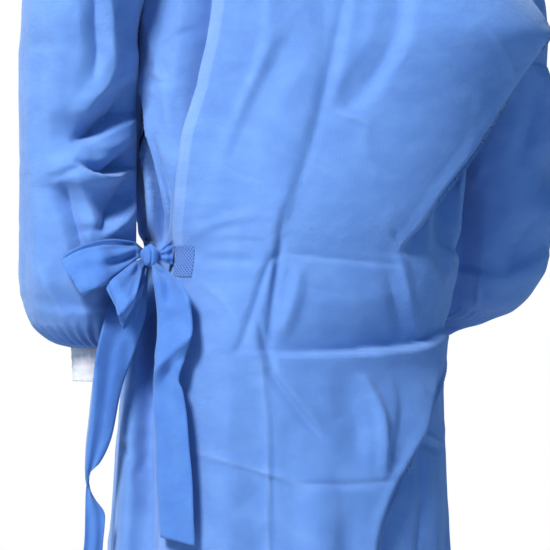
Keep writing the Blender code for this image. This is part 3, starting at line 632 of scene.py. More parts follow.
# Folds along each tie: how many run side by side, and how high they stand at the knot and away from it.
RIBBON_FOLDS = {
    "tie_loop_upper": (2.0, 3.2, 0.9),
    "tie_loop_lower": (1.5, 2.6, 0.9),
    "tie_tail_left": (1.5, 2.4, 0.6),
    "tie_tail_right": (1.5, 2.8, 0.8),
    "tie_back_run": (2.5, 1.2, 1.2),
}
# Creases of the bow, in the plane of the reference view: name, reach to each side, crispness, share of crest paling
# (stress whitening and a painted highlight) and path.
RIBBON_CREASES = {
    "tie_tail_right": {
        "knot_hollow": (12, 12, 0.8, 0.0, (
            (-165, -496, 0), (-158, -514, -7), (-154, -534, -7), (-156, -554, 0),
        )),
        "edge_fold": (14, 10, 0.9, 0.1, (
            (-157, -489, 0), (-142, -514, 4), (-130, -544, 4), (-132, -576, 0),
        )),
        "twist": (14, 34, 0.95, 0.2, (
            (-182, -650, 5), (-167, -628, 11), (-146, -606, 13), (-125, -589, 8),
        )),
        "twist_crease": (8, 12, 0.95, 0.2, (
            (-152, -609, 0), (-142, -629, 3), (-132, -651, 3), (-124, -671, 0),
        )),
        "low_fold": (10, 10, 0.6, 0.0, (
            (-145, -694, 0), (-142, -756, 2), (-140, -819, 2), (-137, -864, 0),
        )),
    },
    "tie_tail_left": {
        "long_tilt": (8, 40, 1.0, 0.0, (
            (-235, -564, 12), (-242, -584, 21), (-246, -609, 24), (-245, -644, 22.5), (-250, -706, 15),
            (-255, -756, 6),
        )),
        "long_fold": (10, 14, 0.7, 0.0, (
            (-210, -581, 0), (-217, -609, 3), (-225, -656, 3), (-235, -719, 2), (-242, -754, 0),
        )),
        "facet": (6, 10, 0.95, 0.3, (
            (-262, -778, 0), (-254, -771, 3), (-244, -764, 0),
        )),
    },
    "tie_loop_upper": {
        "throat": (7, 9, 0.95, 0.0, (
            (-236, -502, 0), (-217, -496, -5), (-197, -489, -6), (-186, -485, 0),
        )),
        "lit_fold": (12, 9, 0.8, 0.1, (
            (-272, -496, 0), (-245, -494, 3), (-217, -488, 4), (-192, -481, 0),
        )),
        "lit_tilt": (8, 46, 1.0, 0.0, (
            (-267, -539, 15), (-242, -528, 18), (-215, -509, 12), (-192, -494, 0),
        )),
        "corner": (7, 8, 0.95, 0.2, (
            (-267, -531, 0), (-257, -526, 3), (-247, -536, 0),
        )),
    },
    "tie_loop_lower": {
        "throat": (6, 6, 0.95, 0.0, (
            (-182, -491, 0), (-191, -509, -4), (-198, -531, -5), (-202, -544, 0),
        )),
        "lit_tilt": (40, 6, 1.0, 0.0, (
            (-177, -509, 0), (-192, -534, 10.5), (-210, -559, 15), (-230, -574, 12),
        )),
    },
}
FULL_TIE_WIDTH = 50.0
FRONT_RUN_LIFT = 3.4
FRONT_RUN = ((131.0, 23.0), (120.0, 19.0), (108.0, 15.0), (97.0, 11.0), (87.0, 9.0))
FRONT_RUN_END = (-181.0, -489.0, 104.0)
FRONT_RUN_END_HALF_HEIGHT = 6.5
RIBBON_STEPS = 14
RIBBON_ACROSS_STEPS = 14
KNOT_CENTRE = (-178.0, -489.0, 120.0)
KNOT_HALF_SIZE = (11.5, 15.0, 9.5)
KNOT_CLEARANCE = 0.1
# The knot's folds: the turn that each faces, its place and width on the unit ball, and its depth.
KNOT_FOLDS = (
    (0.9, 0.35, 0.10, 0.16), (-0.5, -0.45, 0.09, 0.15), (0.25, -0.10, 0.12, 0.13), (1.5, 0.72, 0.10, 0.12),
    (2.2, 0.15, 0.08, 0.10),
)

WELD_LIFT = 0.8
WELDS = {
    "tie_weld_back": (63.4, -496, 19, 14),
    "tie_weld_front": (138.0, -481, 25, 16),
}

NECK_BAND_HEIGHT = 11.0
NECK_BAND_START = 36.0
NECK_BAND_TURN = 352.0
NECK_BAND_COUNT = 280
TAB_LEVEL = -18.0
TAB_HALF_HEIGHT = 10.0
TAB_ANGLES = (18.0, 42.0)


def table(columns, rows):
    """The rows as one array for each named column, sorted by rising level."""
    ordered = sorted(rows, key=lambda row: row[0])
    return dict(zip(columns, np.array(ordered, dtype=float).T))


def smooth(x, knots, values):
    """A curve through the knots that doesn't overshoot: monotone cubic pieces."""
    x = np.asarray(x, dtype=float)
    steps = np.diff(knots)
    slopes = np.diff(values) / steps
    tangents = np.zeros(len(knots))
    same_way = slopes[:-1] * slopes[1:] > 0
    product = np.where(same_way, slopes[:-1] * slopes[1:], 0.0)
    total = np.where(same_way, slopes[:-1] + slopes[1:], 1.0)
    tangents[1:-1] = 2.0 * product / total
    tangents[0] = slopes[0]
    tangents[-1] = slopes[-1]
    held = np.clip(x, knots[0], knots[-1])
    index = np.clip(np.searchsorted(knots, held, side="right") - 1, 0, len(steps) - 1)
    t = (held - knots[index]) / steps[index]
    return (
        (2 * t**3 - 3 * t**2 + 1) * values[index]
        + (t**3 - 2 * t**2 + t) * steps[index] * tangents[index]
        + (3 * t**2 - 2 * t**3) * values[index + 1]
        + (t**3 - t**2) * steps[index] * tangents[index + 1]
    )


def ease(x, low, high):
    """0 below low, 1 above high, and a soft step between."""
    t = np.clip((x - low) / (high - low), 0.0, 1.0)
    return t * t * (3.0 - 2.0 * t)


SECTION = table(SECTION_COLUMNS, SECTIONS)
RAGLAN_LINE = table(RAGLAN_COLUMNS, RAGLAN)
EDGE = table(EDGE_COLUMNS, EDGES)
FOLD_PATHS = {name: table(FOLD_COLUMNS, fold[2]) for name, fold in FOLDS.items()}


def at(source, column, level):
    """A table's column at a level."""
    return smooth(level, source["level"], source[column])


def fold_profile(offset, left_reach, right_reach):
    """1 at a fold's crest and 0 past its reach: a ridge with soft feet."""
    reach = np.where(offset > 0, left_reach, right_reach)
    near = np.clip(1.0 - np.abs(offset) / reach, 0.0, 1.0)
    return near**1.5 * (2.5 - 1.5 * near)


def section_point(angle, level, out):
    """A point out from the body's ellipse."""
    radians = np.radians(angle)
    half_width = at(SECTION, "half_width", level)
    half_depth = at(SECTION, "half_depth", level)
    normal_x = np.sin(radians) / half_width
    normal_y = np.cos(radians) / half_depth
    length = np.hypot(normal_x, normal_y)
    front = (1.0 - np.cos(radians)) / 2.0
    x = at(SECTION, "centre_x", level) + half_width * np.sin(radians) + out * normal_x / length
    y = at(SECTION, "centre_y", level) + half_depth * np.cos(radians) + out * normal_y / length
    z = level - at(SECTION, "front_drop", level) * front**FRONT_DROP_POWER
    return np.stack((x, y, z), axis=-1)


def body_point(angle, level, out=0.0):
    """A point of the body's cloth, with its largest folds."""
    angle, level = np.broadcast_arrays(np.asarray(angle, float), np.asarray(level, float))
    shift = np.zeros(angle.shape)
    lift = np.zeros(angle.shape) + out
    for name, (left_reach, right_reach, _) in FOLDS.items():
        path = FOLD_PATHS[name]
        crest = smooth(level, path["level"], path["angle"])
        pull = smooth(level, path["level"], path["shift"])
        height = smooth(level, path["level"], path["out"])
        offset = (angle - (crest - pull) + 180.0) % 360.0 - 180.0
        profile = fold_profile(offset, left_reach, right_reach)
        shift = shift + pull * profile
        lift = lift + height * profile
    return section_point(angle + shift, level, lift)


def seam_angle(level):
    """Half a seam gap as an angle round the body."""
    return np.degrees(SEAM_GAP / 2.0 / at(SECTION, "half_depth", level))


def back_limit(level, side):
    """The back panels' outer edge: the raglan seam, then the side seam, less half a seam gap."""
    angle = np.where(level > ARMPIT_LEVEL, at(RAGLAN_LINE, "back_angle", level), SIDE_SEAM_ANGLE)
    return side * (angle - seam_angle(level))


def front_limit(level, side):
    """The front panel's edge, measured the same way round as the back's."""
    angle = np.where(level > ARMPIT_LEVEL, at(RAGLAN_LINE, "front_angle", level), SIDE_SEAM_ANGLE)
    return side * (angle + seam_angle(level))


def body_levels():
    """Levels of the fine rows, from the neck to the hem."""
    levels = [np.array((BODY_TOP,))]
    top = BODY_TOP
    for bottom, step in BODY_STRETCHES:
        count = int(round((top - bottom) / step))
        levels.append(top + (bottom - top) * np.arange(1, count + 1) / count)
        top = bottom
    return np.concatenate(levels)


def evenly(start, end, count):
    """Columns for each row, in equal steps of angle from start to end."""
    return start[:, None] + (end - start)[:, None] * np.linspace(0.0, 1.0, count + 1)


def grid_normals(points, outward_sign):
    """Unit normals of a grid of points."""
    down = np.gradient(points, axis=0)
    along = np.gradient(points, axis=1)
    normals = np.cross(down, along) * outward_sign
    return normals / np.maximum(np.linalg.norm(normals, axis=-1, keepdims=True), 1e-9)


def view_place(points):
    """Where the reference view sees these points: across and up the upright plane through the origin."""
    toward = points @ VIEW_TOWARD
    nearer = 1.0 - toward / VIEW_DISTANCE
    across = VIEW_AIM_ACROSS + (points @ VIEW_RIGHT - VIEW_AIM_ACROSS) / nearer
    level = VIEW_AIM_LEVEL + (points[..., 2] - VIEW_AIM_LEVEL) / nearer
    return across, level


def finer_path(path):
    """The crease's path with short steps between its points."""
    knots = np.arange(len(path), dtype=float)
    t = np.linspace(0.0, len(path) - 1.0, 4 * (len(path) - 1) + 1)
    return np.stack([smooth(t, knots, column) for column in np.array(path, dtype=float).T], axis=-1)


def crease_lift(across, level, crease, across_scale=1.0):
    """How far one crease lifts each place, and how much it pales its crest: stress whitening and a painted highlight.
    """
    right_reach, left_reach, crisp, whitening_and_highlight_share, path = crease
    path = finer_path(path) * (across_scale, 1.0, 1.0)
    across = across * across_scale
    most = max(right_reach, left_reach)
    lift = np.zeros(across.shape)
    whitened_and_highlit = np.zeros(across.shape)
    low = path[:, :2].min(axis=0) - most
    high = path[:, :2].max(axis=0) + most
    inside = (across > low[0]) & (across < high[0]) & (level > low[1]) & (level < high[1])
    if not inside.any():
        return lift, whitened_and_highlit
    x, y = across[inside], level[inside]
    nearest = np.full(x.shape, np.inf)
    turn = np.zeros(x.shape)
    height = np.zeros(x.shape)
    for start, end in zip(path[:-1], path[1:]):
        step = end - start
        t = np.clip(((x - start[0]) * step[0] + (y - start[1]) * step[1]) / (step[:2] @ step[:2]), 0.0, 1.0)
        from_x = x - start[0] - t * step[0]
        from_y = y - start[1] - t * step[1]
        distance = np.hypot(from_x, from_y)
        closer = distance < nearest
        nearest = np.where(closer, distance, nearest)
        turn = np.where(closer, step[0] * from_y - step[1] * from_x, turn)
        height = np.where(closer, start[2] + t * step[2], height)
    near = np.clip(1.0 - nearest / np.where(turn > 0, left_reach, right_reach), 0.0, 1.0)
    profile = crisp * near**CRISP_POWER + (1.0 - crisp) * near**1.5 * (2.5 - 1.5 * near)
    lift[inside] = height * profile
    # The crest is made paler near its line: partly stress whitening, partly a painted highlight.
    whitened_and_highlit[inside] = whitening_and_highlight_share * np.clip(np.abs(height) / 1.5, 0.0, 1.0) * np.clip(1.0 - nearest / 3.4, 0.0, 1.0)
    return lift, whitened_and_highlit


def sum_creases(across, level, creases, across_scale=1.0):
    """The creases' lifts, added up, and the strongest paling of their crests: stress whitening and a painted
    highlight.
    """
    lift = np.zeros(across.shape)
    whitened_and_highlit = np.zeros(across.shape)
    for crease in creases:
        more, more_whitened_and_highlit = crease_lift(across, level, crease, across_scale)
        lift += more
        whitened_and_highlit = np.maximum(whitened_and_highlit, more_whitened_and_highlit)
    return lift, whitened_and_highlit


def scattered_creases(seed, count, lowest, highest):
    """Small handling creases, from a seeded generator, in millimetres along and up the cloth."""
    random = np.random.default_rng(seed)
    creases = []
    for _ in range(count):
        start = random.uniform(lowest, highest)
        heading = random.uniform(0.0, np.pi)
        bend = random.uniform(-0.6, 0.6)
        length = random.uniform(30.0, 130.0)
        height = random.choice((-1.0, 1.0)) * random.uniform(0.4, 1.5)
        middle = start + length / 2.0 * np.array((np.cos(heading), np.sin(heading)))
        end = middle + length / 2.0 * np.array((np.cos(heading + bend), np.sin(heading + bend)))
        path = ((*start, 0.0), (*middle, height), (*end, 0.0))
        reach = random.uniform(6.0, 20.0, 2)
        creases.append((reach[0], reach[1], random.uniform(0.6, 1.0), random.uniform(0.0, 0.3), path))
    return creases


BACK_SCATTER = scattered_creases(11, 150, (-300.0, -1240.0), (300.0, -10.0))
FRONT_SCATTER = scattered_creases(12, 130, (290.0, -1240.0), (865.0, -40.0))
SLEEVE_SCATTER = {"left": scattered_creases(13, 70, (0.0, -590.0), (450.0, -10.0)),
                  "right": scattered_creases(14, 70, (0.0, -590.0), (450.0, -10.0))}


def creased_body(angle, level, depth, outward_sign):
    """The body's fine cloth at a grid of angles and levels, depth under its surface."""
    angle, level = np.broadcast_arrays(angle, level)
    base = body_point(angle, level, -depth)
    normals = grid_normals(base, outward_sign)
    across, seen_level = view_place(base)
    facing = ease(normals @ VIEW_TOWARD, -0.15, 0.25)
    lift, whitened_and_highlit = sum_creases(across, seen_level, BACK_CREASES.values())
    lift *= facing
    whitened_and_highlit *= facing
    arc = angle * ARC_PER_DEGREE
    for creases in (FRONT_CREASES, SIDE_CREASES):
        more, more_whitened_and_highlit = sum_creases(angle, level, creases.values(), ARC_PER_DEGREE)
        lift += more
        whitened_and_highlit = np.maximum(whitened_and_highlit, more_whitened_and_highlit)
    more, more_whitened_and_highlit = sum_creases(arc, level, BACK_SCATTER + FRONT_SCATTER)
    lift += more
    whitened_and_highlit = np.maximum(whitened_and_highlit, more_whitened_and_highlit)
    return base + normals * lift[..., None], whitened_and_highlit


def grid_faces(rows, columns, flip):
    """Quads of a grid, row by row, as one array."""
    starts = (np.arange(rows - 1)[:, None] * columns + np.arange(columns - 1)).reshape(-1)
    quads = np.stack((starts, starts + columns, starts + columns + 1, starts + 1), axis=-1)
    return quads[:, ::-1] if flip else quads


def cloth_lengths(points):
    """Lengths along the rows and down the columns of a grid, in metres, for the weave to follow."""
    along = np.linalg.norm(np.diff(points, axis=1), axis=-1).mean(axis=0)
    down = np.linalg.norm(np.diff(points, axis=0), axis=-1).mean(axis=1)
    u = np.concatenate(((0.0,), np.cumsum(along))) * MM
    v = np.concatenate(((0.0,), np.cumsum(down))) * MM
    return np.meshgrid(u, v)


def cloth(name, points, thickness, finish, flip=False, weld=False, layers=None):
    """A grid of cloth as an object, with its lengths as UVs and its marks as attributes."""
    rows, columns = points.shape[:2]
    faces = grid_faces(rows, columns, flip)
    mesh = bpy.data.meshes.new(name)
    mesh.from_pydata((points.reshape(-1, 3) * MM).tolist(), [], faces.tolist())
    u, v = cloth_lengths(points)
    corner = np.stack((u, v), axis=-1).reshape(-1, 2)[faces.reshape(-1)]
    mesh.uv_layers.new(name="cloth").data.foreach_set("uv", corner.reshape(-1).astype(np.float32))
    for layer, values in (layers or {}).items():
        mark = mesh.attributes.new(layer, "FLOAT", "POINT")
        mark.data.foreach_set("value", np.broadcast_to(values, points.shape[:2]).reshape(-1).astype(np.float32))
    mesh.shade_smooth()
    made = bpy.data.objects.new(name, mesh)
    bpy.context.scene.collection.objects.link(made)
    made.data.materials.append(finish)
    if weld:
        joiner = made.modifiers.new("closed_tube", "WELD")
        joiner.merge_threshold = WELD_DISTANCE * MM
    solid = made.modifiers.new("thickness", "SOLIDIFY")
    solid.thickness = thickness * MM
    solid.offset = -1.0
    return made


def edge_distance(points, edges):
    """How far along the rows or columns each point lies from the named edges, in millimetres."""
    along = np.linalg.norm(np.diff(points, axis=1), axis=-1)
    down = np.linalg.norm(np.diff(points, axis=0), axis=-1)
    first = np.concatenate((np.zeros((len(points), 1)), np.cumsum(along, axis=1)), axis=1)
    top = np.concatenate((np.zeros((1, points.shape[1])), np.cumsum(down, axis=0)), axis=0)
    ways = {"first": first, "last": first[:, -1:] - first, "top": top, "bottom": top[-1:] - top}
    return np.minimum.reduce([ways[edge] for edge in edges])


def hem_lift(distance, width, height):
    """The extra thickness of a folded hem."""
    return height * (1.0 - ease(distance, width - 1.5, width + 1.5))


def declare(made, node):
    """Puts a piece on the root body and hides the CAD part of its node."""
    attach(made, "root")
    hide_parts(node)


def seam_marks(points, whitened_and_highlit, seams, hems):
    """The attributes that a panel's material reads."""
    # The crest paling is partly stress whitening and partly a painted highlight.
    return {
        "whitened_and_highlit": whitened_and_highlit,
        "seam": edge_distance(points, seams) if seams else 999.0,
        "hem": edge_distance(points, hems) if hems else 999.0,
    }


def make_back_right(levels, finish):
    """The wrap panel, from its free edge over the back to the right side seam."""
    angles = evenly(at(EDGE, "wrap_edge", levels), back_limit(levels, -1), WRAP_COLUMNS)
    points, whitened_and_highlit = creased_body(angles, levels[:, None], 0.0, 1.0)
    normals = grid_normals(points, 1.0)
    lift = hem_lift(edge_distance(points, ("first",)), 15.0, 0.6) + hem_lift(edge_distance(points, ("bottom",)), 20.0, 0.6)
    points = points + normals * lift[..., None]
    marks = seam_marks(points, whitened_and_highlit, ("last",), ("first", "bottom"))
    return cloth("back_right_cloth", points, CLOTH_THICKNESS, finish, layers=marks)


def make_back_left(levels, finish):
    """The left back panel, which runs on under the wrap."""
    seam = back_limit(levels, 1)
    edge = at(EDGE, "wrap_edge", levels)
    angles = evenly(seam, at(EDGE, "under_edge", levels), UNDER_COLUMNS)
    depth = UNDER_WRAP_DEPTH * np.clip((seam[:, None] - angles) / (seam - edge)[:, None], 0.0, 1.0) ** 0.5
    points, whitened_and_highlit = creased_body(angles, levels[:, None], depth, 1.0)
    across, seen_level = view_place(points)
    tuck, _ = sum_creases(across, seen_level, UNDER_CREASES.values())
    normals = grid_normals(points, 1.0)
    points = points + normals * np.minimum(tuck, 0.0)[..., None]
    marks = seam_marks(points, whitened_and_highlit, ("first",), ("last", "bottom"))
    return cloth("back_left_cloth", points, CLOTH_THICKNESS, finish, layers=marks)


def make_front(levels, finish):
    """The front panel, from the left side round to the right side."""
    angles = evenly(front_limit(levels, 1), 360.0 + front_limit(levels, -1), FRONT_COLUMNS)
    points, whitened_and_highlit = creased_body(angles, levels[:, None], 0.0, -1.0)
    normals = grid_normals(points, -1.0)
    points = points + normals * hem_lift(edge_distance(points, ("bottom",)), 20.0, 0.6)[..., None]
    marks = seam_marks(points, whitened_and_highlit, ("first", "last"), ("bottom",))
    return cloth("front_cloth", points, CLOTH_THICKNESS, finish, flip=True, layers=marks)


def sleeve_ring(front, back, top, half_depth, count):
    """An arc from the front seam over the outside to the back seam, or a full ring where the two meet."""
    middle = (front + back) / 2.0
    chord = back - front
    half_chord = np.linalg.norm(chord) / 2.0
    straight = np.array((0.0, 1.0, 0.0))
    share = ease(half_chord, 0.0, SKEWED_HALF_CHORD)
    depth_way = share * chord / max(2.0 * half_chord, MM) + (1.0 - share) * straight
    depth_way /= np.linalg.norm(depth_way)
    opening = np.arccos(min(half_chord / half_depth, 1.0))
    rise = top - middle
    half_rise = rise / (1.0 + np.sin(opening))
    centre = middle + half_rise * np.sin(opening)
    around = -opening + np.linspace(0.0, 1.0, count + 1) * (np.pi + 2.0 * opening)
    return centre - half_depth * np.cos(around)[:, None] * depth_way + np.sin(around)[:, None] * half_rise


def raglan_ring(side, level):
    """A sleeve row above the armpit, between the two raglan seams."""
    gap = 2.0 * seam_angle(level)
    front = body_point(side * (at(RAGLAN_LINE, "front_angle", level) - gap / 2.0), level)
    back = body_point(side * (at(RAGLAN_LINE, "back_angle", level) + gap / 2.0), level)
    top = np.array([at(RAGLAN_LINE, axis, level) for axis in ("top_x", "top_y", "top_z")])
    top[0] *= side
    return sleeve_ring(front, back, top, at(RAGLAN_LINE, "half_depth", level), SLEEVE_COLUMNS_COUNT)


def arm_ring(side, source, level):
    """A sleeve row below the armpit: a whole ellipse."""
    x, y, half_width, half_depth = (at(source, column, level) for column in SLEEVE_COLUMNS[1:])
    inner = np.array((x - side * half_width, y, level))
    outer = np.array((x + side * half_width, y, level))
    return sleeve_ring(inner, inner, outer, half_depth, SLEEVE_COLUMNS_COUNT)


def sleeve_grid(name):
    """The sleeve's smooth form, row by row from the neck to its gathered end, with each row's level."""
    side = SLEEVE_SIDE[name]
    source = table(SLEEVE_COLUMNS, SLEEVES[name])
    end = source["level"][0]
    shoulder = np.concatenate((np.arange(BODY_TOP, -60.0, -2.2), np.arange(-60.0, ARMPIT_LEVEL, -SLEEVE_STEP)))
    arm = np.concatenate((np.arange(ARMPIT_LEVEL - 1.0, -560.0, -SLEEVE_STEP), np.arange(-560.0, end, -1.5), (end,)))
    rows = [raglan_ring(side, level) for level in shoulder] + [arm_ring(side, source, level) for level in arm]
    return np.array(rows), np.concatenate((shoulder, arm))


def make_sleeve(name, finish):
    """One raglan sleeve, closed below the armpit and gathered at the cuff."""
    side = SLEEVE_SIDE[name]
    points, levels = sleeve_grid(name)
    around = np.linspace(0.0, 360.0, points.shape[1])[None, :]
    level = levels[:, None]
    normals = grid_normals(points, side)
    shape = points.shape[:2]
    lift = np.zeros(shape)
    for fold_level, fold_around, level_reach, around_reach, out in SLEEVE_FOLDS[name]:
        down = fold_profile(level - fold_level, level_reach, level_reach)
        across = fold_profile((around - fold_around + 180.0) % 360.0 - 180.0, around_reach, around_reach)
        lift += out * down * across
    seen_across, seen_level = view_place(points)
    facing = ease(normals @ VIEW_TOWARD, -0.1, 0.3)
    more, whitened_and_highlit = sum_creases(seen_across, seen_level, SLEEVE_VIEW_CREASES[name].values())
    lift += more * facing
    whitened_and_highlit = whitened_and_highlit * facing
    rounds, levels_grid = np.broadcast_arrays(around, level)
    for creases, scale in ((SLEEVE_ROUND_CREASES.values(), 1.25), (SLEEVE_SCATTER[name], 1.0)):
        places = rounds if scale > 1.0 else rounds * 1.25
        more, more_whitened_and_highlit = sum_creases(places, levels_grid, creases, scale)
        lift += more * (1.0 - 0.7 * facing) if scale > 1.0 else more
        whitened_and_highlit = np.maximum(whitened_and_highlit, more_whitened_and_highlit)
    end_level = levels[-1]
    gathered = ease(-level, -GATHER_TOP, -end_level) * (1.0 - ease(-level, -end_level - 3.0, -end_level))
    wave = np.cos(np.radians(around) * GATHER_PLEATS + 1.3 * np.sin(np.radians(around) * 3.0))
    lift += GATHER_HEIGHT * gathered * (wave - 0.4)
    ends = ease(level, end_level, end_level + 6.0)
    lift *= ends
    lift[:, -1] = lift[:, 0] = (lift[:, -1] + lift[:, 0]) / 2.0
    normals[:, -1] = normals[:, 0] = (normals[:, -1] + normals[:, 0]) / 2.0
    points = points + normals * lift[..., None]
    marks = seam_marks(points, whitened_and_highlit, ("first", "last"), None)
    return cloth(f"sleeve_{name}_cloth", points, CLOTH_THICKNESS, finish, flip=side < 0, weld=True, layers=marks)


def make_cuff(name, finish):
    """A ribbed knit tube whose top lies just inside the sleeve's gathered end."""
    side = SLEEVE_SIDE[name]
    end_level, centre_x, centre_y = SLEEVES[name][-1][:3]
    around = np.linspace(-np.pi / 2.0, 1.5 * np.pi, CUFF_COLUMNS + 1)
    step = np.linspace(0.0, 1.0, CUFF_ROWS + 1)[:, None]
    radius = CUFF_TOP_RADIUS + (CUFF_END_RADIUS - CUFF_TOP_RADIUS) * step
    bands = 0.35 * np.sin(step * 23.0 + 0.8 * np.sin(around * 2.0)) * np.sin(np.pi * step)
    ribs = 0.38 * np.abs(np.sin(around * CUFF_RIBS / 2.0)) - 0.3
    radius = radius + bands + ribs + 0.4 * ease(step, 0.93, 1.0)
    x = centre_x + side * radius * np.sin(around)
    y = centre_y - radius * np.cos(around)
    level = np.broadcast_to(end_level + CUFF_TUCK - CUFF_LENGTH * step, x.shape)
    points = np.stack((x, y, level), axis=-1)
    return cloth(f"cuff_{name}_knit", points, KNIT_THICKNESS, finish, flip=side < 0, weld=True)


def view_point(across, level, toward):
    """The point that the reference view sees at this place across and up the upright plane through the origin."""
    across, level, toward = np.broadcast_arrays(across, level, toward)
    nearer = 1.0 - toward / VIEW_DISTANCE
    true_across = VIEW_AIM_ACROSS + (across - VIEW_AIM_ACROSS) * nearer
    true_level = VIEW_AIM_LEVEL + (level - VIEW_AIM_LEVEL) * nearer
    return (
        np.multiply.outer(true_across, VIEW_RIGHT)
        + np.multiply.outer(toward, VIEW_TOWARD)
        + np.multiply.outer(true_level, UP)
    )


def on_knot(points):
    """The points drawn in to the knot's surface."""
    axes = np.array((VIEW_RIGHT, UP, VIEW_TOWARD))
    half_size = np.array(KNOT_HALF_SIZE)
    away = (points - view_point(*KNOT_CENTRE)) @ axes.T
    reach = np.linalg.norm(away / half_size, axis=-1, keepdims=True)
    clear = 1.0 - KNOT_CLEARANCE
    return view_point(*KNOT_CENTRE) + (away / reach * clear) @ axes


def ribbon_grid(name):
    """The tie's strip as a fine grid, with lengthwise folds that are deepest at the knot."""
    rows = RIBBONS[name]
    columns = dict(zip(RIBBON_COLUMNS, np.array(rows, dtype=float).T))
    knots = np.arange(len(rows), dtype=float)
    t = np.linspace(0.0, len(rows) - 1.0, RIBBON_STEPS * (len(rows) - 1) + 1)
    path = {column: smooth(t, knots, columns[column]) for column in RIBBON_COLUMNS}
    middle = view_point(path["across"], path["level"], path["toward"])
    roll = np.radians(path["roll"])[:, None]
    yaw = np.radians(path["yaw"])[:, None]
    width_way = np.cos(roll) * UP - np.sin(roll) * (np.cos(yaw) * VIEW_RIGHT + np.sin(yaw) * VIEW_TOWARD)
    places = np.linspace(-0.5, 0.5, RIBBON_ACROSS_STEPS + 1)
    points = middle[:, None] + width_way[:, None] * (path["width"][:, None] * places)[..., None]
    for row in KNOT_ROWS[name]:
        points[row] = on_knot(points[row])
    count, at_knot, away = RIBBON_FOLDS[name]
    gathered = np.clip(1.0 - path["width"] / FULL_TIE_WIDTH, 0.0, 1.0)[:, None]
    height = away + (at_knot - away) * gathered
    wave = np.cos(2.0 * np.pi * (count * places[None, :] + 0.12 * np.sin(t[:, None] * 1.7)))
    normals = grid_normals(points, 1.0)
    fade = np.ones(len(t))
    for row in KNOT_ROWS[name]:
        fade = np.minimum(fade, ease(np.abs(t - t[row]), 0.0, 0.35))
    cross = 0.7 * np.sin(t[:, None] * 5.3 + places[None, :] * 3.0) * (1.0 - gathered)
    points = points + normals * ((height * wave + cross) * fade[:, None])[..., None]
    across, level = view_place(points)
    lift, whitened_and_highlit = sum_creases(across, level, RIBBON_CREASES.get(name, {}).values())
    return points + VIEW_TOWARD * (lift * fade[:, None])[..., None], whitened_and_highlit


def make_ribbon(name, finish):
    points, whitened_and_highlit = ribbon_grid(name)
    return cloth(f"{name}_cloth", points, TIE_THICKNESS, finish, layers={"whitened_and_highlit": whitened_and_highlit})


def make_front_run(finish):
    """The front tie's stretch from its weld round the side to the knot."""
    angles, half_heights = np.array(FRONT_RUN).T
    t = np.linspace(0.0, len(angles) - 1.0, 60)
    knots = np.arange(len(angles), dtype=float)
    angle = smooth(t, knots, angles)
    half_height = smooth(t, knots, half_heights)
    rows = np.linspace(1.0, -1.0, 19)[:, None]
    waves = 0.5 + 0.5 * np.cos(rows * np.pi * 3.0)
    on_body = body_point(angle[None, :], TIE_LEVEL + rows * half_height, FRONT_RUN_LIFT + 1.1 * waves)
    across, level, toward = FRONT_RUN_END
    ends = on_knot(view_point(across, level + rows[:, 0] * FRONT_RUN_END_HALF_HEIGHT, toward))
    steps = np.linspace(0.0, 1.0, 26)[None, 1:, None]
    bridge = on_body[:, -1:] * (1.0 - steps) + ends[:, None] * steps
    points = np.concatenate((on_body, bridge), axis=1)
    return cloth("tie_front_run_cloth", points, TIE_THICKNESS, finish)


def make_knot(finish):
    """The wrapped cloth of the bow's knot: a rounded lump with the folds of the tie across it."""
    turn = np.linspace(0.0, 2.0 * np.pi, 97)
    rise = np.linspace(0.0, np.pi, 65)[:, None]
    bulge = 1.0 + 0.05 * np.cos(5.0 * rise + 1.4 * np.sin(turn)) * np.sin(rise)
    for turned, place, width, depth in KNOT_FOLDS:
        bulge = bulge - depth * np.exp(-((np.sin(turn - turned) * np.sin(rise) - place) / width) ** 2)
    half_across, half_height, half_toward = KNOT_HALF_SIZE
    across = np.sin(rise) * np.cos(turn) * half_across * bulge
    toward = np.sin(rise) * np.sin(turn) * half_toward * bulge
    up = np.cos(rise) * half_height * bulge
    points = (
        view_point(*KNOT_CENTRE)
        + np.multiply.outer(across, VIEW_RIGHT)
        + np.multiply.outer(toward, VIEW_TOWARD)
        + np.multiply.outer(up, UP)
    )
    return cloth("tie_knot_cloth", points, TIE_THICKNESS, finish, flip=True, weld=True)


def patch(name, angles, levels, lift, finish):
    """A small rectangle of cloth that lies on the body."""
    base, _ = creased_body(angles[None, :], levels[:, None], 0.0, 1.0 if angles[0] > angles[-1] else -1.0)
    normals = grid_normals(base, 1.0 if angles[0] > angles[-1] else -1.0)
    return cloth(name, base + normals * lift, TIE_THICKNESS, finish)


def make_weld(name, finish):
    """A tie's end, welded flat on its panel with a grid of dots."""
    angle, level, half_height, half_width = WELDS[name]
    half_angle = np.degrees(half_width / at(SECTION, "half_depth", level))
    angles = angle + half_angle * np.linspace(1.0, -1.0, 31)
    levels = level + half_height * np.linspace(1.0, -1.0, 41)
    return patch(f"{name}_cloth", angles, levels, WELD_LIFT, finish)


def make_neck_tab(finish):
    """The hook-and-loop tab on the wrap's neck corner."""
    angles = np.linspace(TAB_ANGLES[1], TAB_ANGLES[0], 61)
    levels = TAB_LEVEL + TAB_HALF_HEIGHT * np.linspace(1.0, -1.0, 25)
    return patch("neck_tab_loop", angles, levels, WELD_LIFT, finish)


